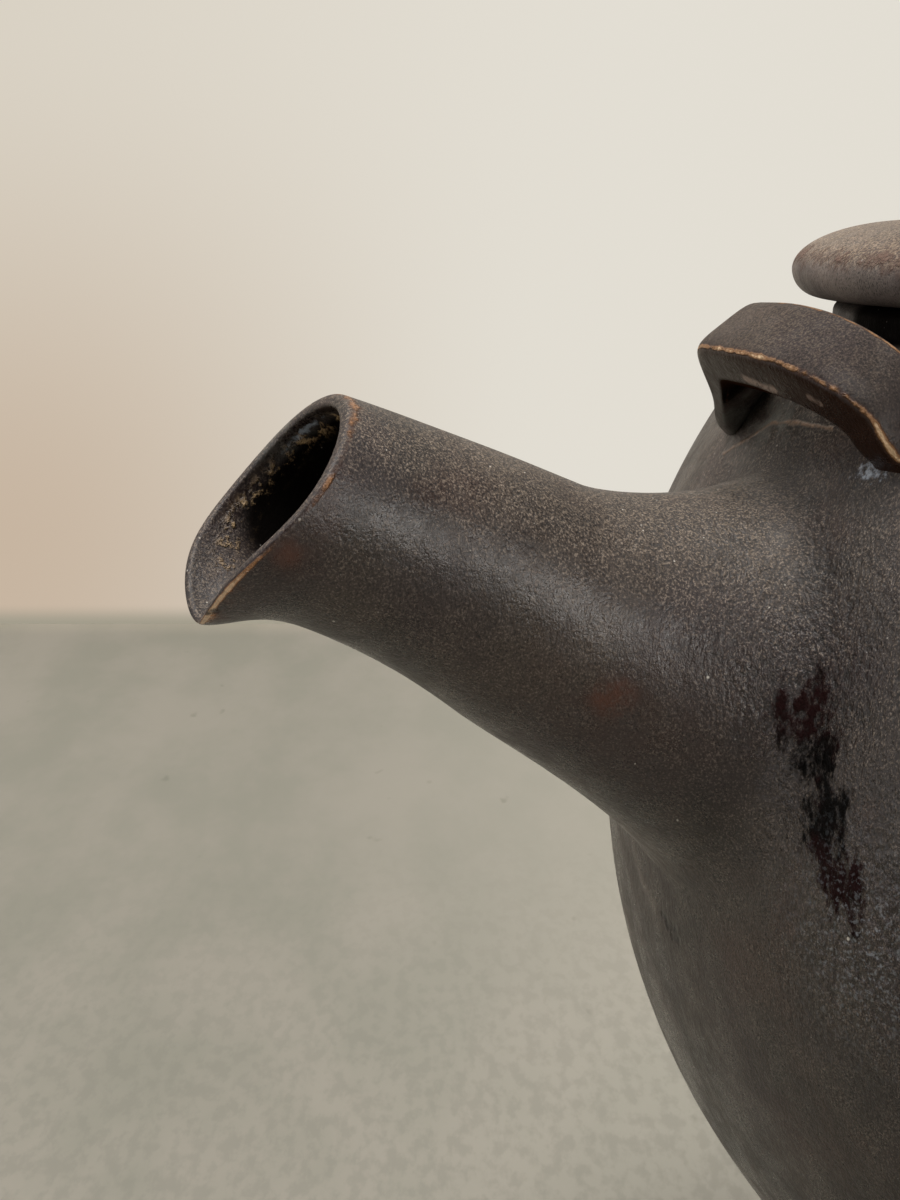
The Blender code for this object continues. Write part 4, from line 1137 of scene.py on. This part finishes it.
def makeFloor(ahead, edge):
    clearSelection()
    bpy.ops.mesh.primitive_plane_add(size=6.0, location=(0, 0, 0))
    floor = bpy.context.object
    floor.name = "floor"
    material, inputs, place = startMaterial("tableTop")
    far = vectors('DOT_PRODUCT', {0: place, 1: ahead}, "Value")
    side = vectors('DOT_PRODUCT', {0: place, 1: Vector((ahead.y, -ahead.x, 0))}, "Value")
    drawn = addNode("ShaderNodeCombineXYZ", {0: side, 1: times(far, 0.3)}).outputs[0]
    mottle = noiseOf(drawn, 55.0, 4.0, 0.6)
    tint = blendColour(stretch(mottle, 0.35, 0.65), stage["floor"], stage["floorPale"])
    tint = blendColour(stretch(side, -0.10, -0.02, 0.0, 0.75), tint, stage["floorLit"])
    flecks = stretch(noiseOf(drawn, 620.0, 3.0, 0.6), 0.42, 0.62, 0.0, 0.30)
    tint = blendColour(times(flecks, stretch(far, edge - 0.15, edge - 0.32)), tint, stage["fleck"])
    smudge = stretch(noiseOf(shifted(drawn, (0.3, 0.7, 0.0)), 260.0), 0.70, 0.80, 0.0, 0.5)
    tint = blendColour(smudge, tint, stage["smudge"])
    tint = blendColour(stretch(far, edge - 0.016, edge, 0.0, 0.3), tint, stage["floorEnd"])
    feed(tint, inputs["Base Color"])
    inputs["Roughness"].default_value = 0.7
    dress(floor, material)


def makeBackdrop(foot):
    # it glows where it is seen, and lets the light behind it through
    clearSelection()
    turn = (math.radians(90), 0, -math.radians(stage["turn"]))
    bpy.ops.mesh.primitive_plane_add(size=4.0, location=foot + Vector((0, 0, 2.0)), rotation=turn)
    backdrop = bpy.context.object
    backdrop.name = "backdrop"
    material, inputs, place = startMaterial("paleWall")
    inputs["Base Color"].default_value = stage["wallRight"]
    inputs["Roughness"].default_value = 0.9
    x, y, _ = addNode("ShaderNodeSeparateXYZ", {0: place}).outputs
    tint = blendColour(stretch(x, 0.05, -0.12), stage["wallRight"], stage["wallLeft"])
    low = stretch(y, -1.87, -1.985)
    tint = blendColour(times(stretch(x, 0.02, -0.10), low), tint, stage["wallPink"])
    tint = blendColour(stretch(y, -1.9955, -2.0), tint, stage["seam"])
    aside = stretch(maths('ABSOLUTE', x), 0.16, 0.55, 1.0, 0.10)
    above = stretch(y, -1.65, -1.1, 1.0, 0.35)
    glow = addNode("ShaderNodeEmission", {"Color": tint, "Strength": times(aside, above)}).outputs[0]
    seen = addNode("ShaderNodeLightPath").outputs
    direct = maths('MAXIMUM', seen["Is Glossy Ray"], seen["Is Transmission Ray"])
    direct = maths('MAXIMUM', seen["Is Camera Ray"], direct)
    nodes = material.node_tree.nodes
    front = addNode("ShaderNodeMixShader", {0: direct, 1: nodes["Principled BSDF"].outputs[0], 2: glow})
    clear = addNode("ShaderNodeBsdfTransparent").outputs[0]
    behind = addNode("ShaderNodeNewGeometry").outputs["Backfacing"]
    whole = addNode("ShaderNodeMixShader", {0: behind, 1: front.outputs[0], 2: clear})
    feed(whole.outputs[0], nodes["Material Output"].inputs["Surface"])
    dress(backdrop, material)


def makeStage():
    turn = math.radians(stage["turn"])
    ahead = Vector((math.sin(turn), math.cos(turn), 0))
    foot = Vector((camera["place"][0], camera["place"][1], 0)) + ahead * stage["wallDistance"]
    makeFloor(ahead, ahead.dot(foot))
    makeBackdrop(foot)
    print("stage made")


def addSoftLight(name, place, size, power, colour):
    data = bpy.data.lights.new(name, 'AREA')
    data.shape = 'RECTANGLE'
    data.size, data.size_y = size
    data.energy, data.color = power, colour
    light = bpy.data.objects.new(name, data)
    light.location = place
    light.rotation_euler = (Vector((0, 0, 0.055)) - Vector(place)).to_track_quat('-Z', 'Y').to_euler()
    bpy.context.scene.collection.objects.link(light)


# place, size, power and colour
softLights = {
    "windowLight": ((0.38, -1.03, 0.14), (0.6, 0.6), 8.0, (1.0, 0.965, 0.92)),
    "topLight": ((-0.20, 0.10, 1.10), (1.1, 1.1), 22.0, (1.0, 0.975, 0.94)),
    "skyLight": ((-0.75, 0.85, 0.78), (0.45, 0.45), 3.2, (0.80, 0.90, 1.0)),
    "sideLight": ((-1.1, 0.10, 0.25), (1.3, 1.0), 4.8, (1.0, 0.965, 0.95)),
}
roomLight = {"colour": (0.86, 0.84, 0.80, 1), "strength": 0.16}


def makeLights():
    for name, settings in softLights.items():
        addSoftLight(name, *settings)
    world = bpy.data.worlds.new("room")
    world.use_nodes = True
    background = world.node_tree.nodes["Background"].inputs
    background[0].default_value = roomLight["colour"]
    background[1].default_value = roomLight["strength"]
    bpy.context.scene.world = world


def makeCamera():
    data = bpy.data.cameras.new("view")
    data.sensor_fit = 'VERTICAL'
    data.sensor_height = 36.0
    data.lens = camera["lens"]
    data.clip_start, data.clip_end = 0.01, 20.0
    eye = bpy.data.objects.new("view", data)
    eye.location = camera["place"]
    eye.rotation_euler = (math.radians(camera["tilt"]), 0, math.radians(camera["turn"]))
    bpy.context.scene.collection.objects.link(eye)
    bpy.context.scene.camera = eye


makeBody()
makeSpout()
makeStrainer()
makeLug("frontLug", math.pi, "front_lug")
makeLug("rearLug", 0.0, "rear_lug")
makeLidDisc()
makeLidFlange()
makeKnob()
makeStage()
makeLights()
makeCamera()
print("lights and camera made")
bpy.context.scene.view_settings.view_transform = 'Standard'
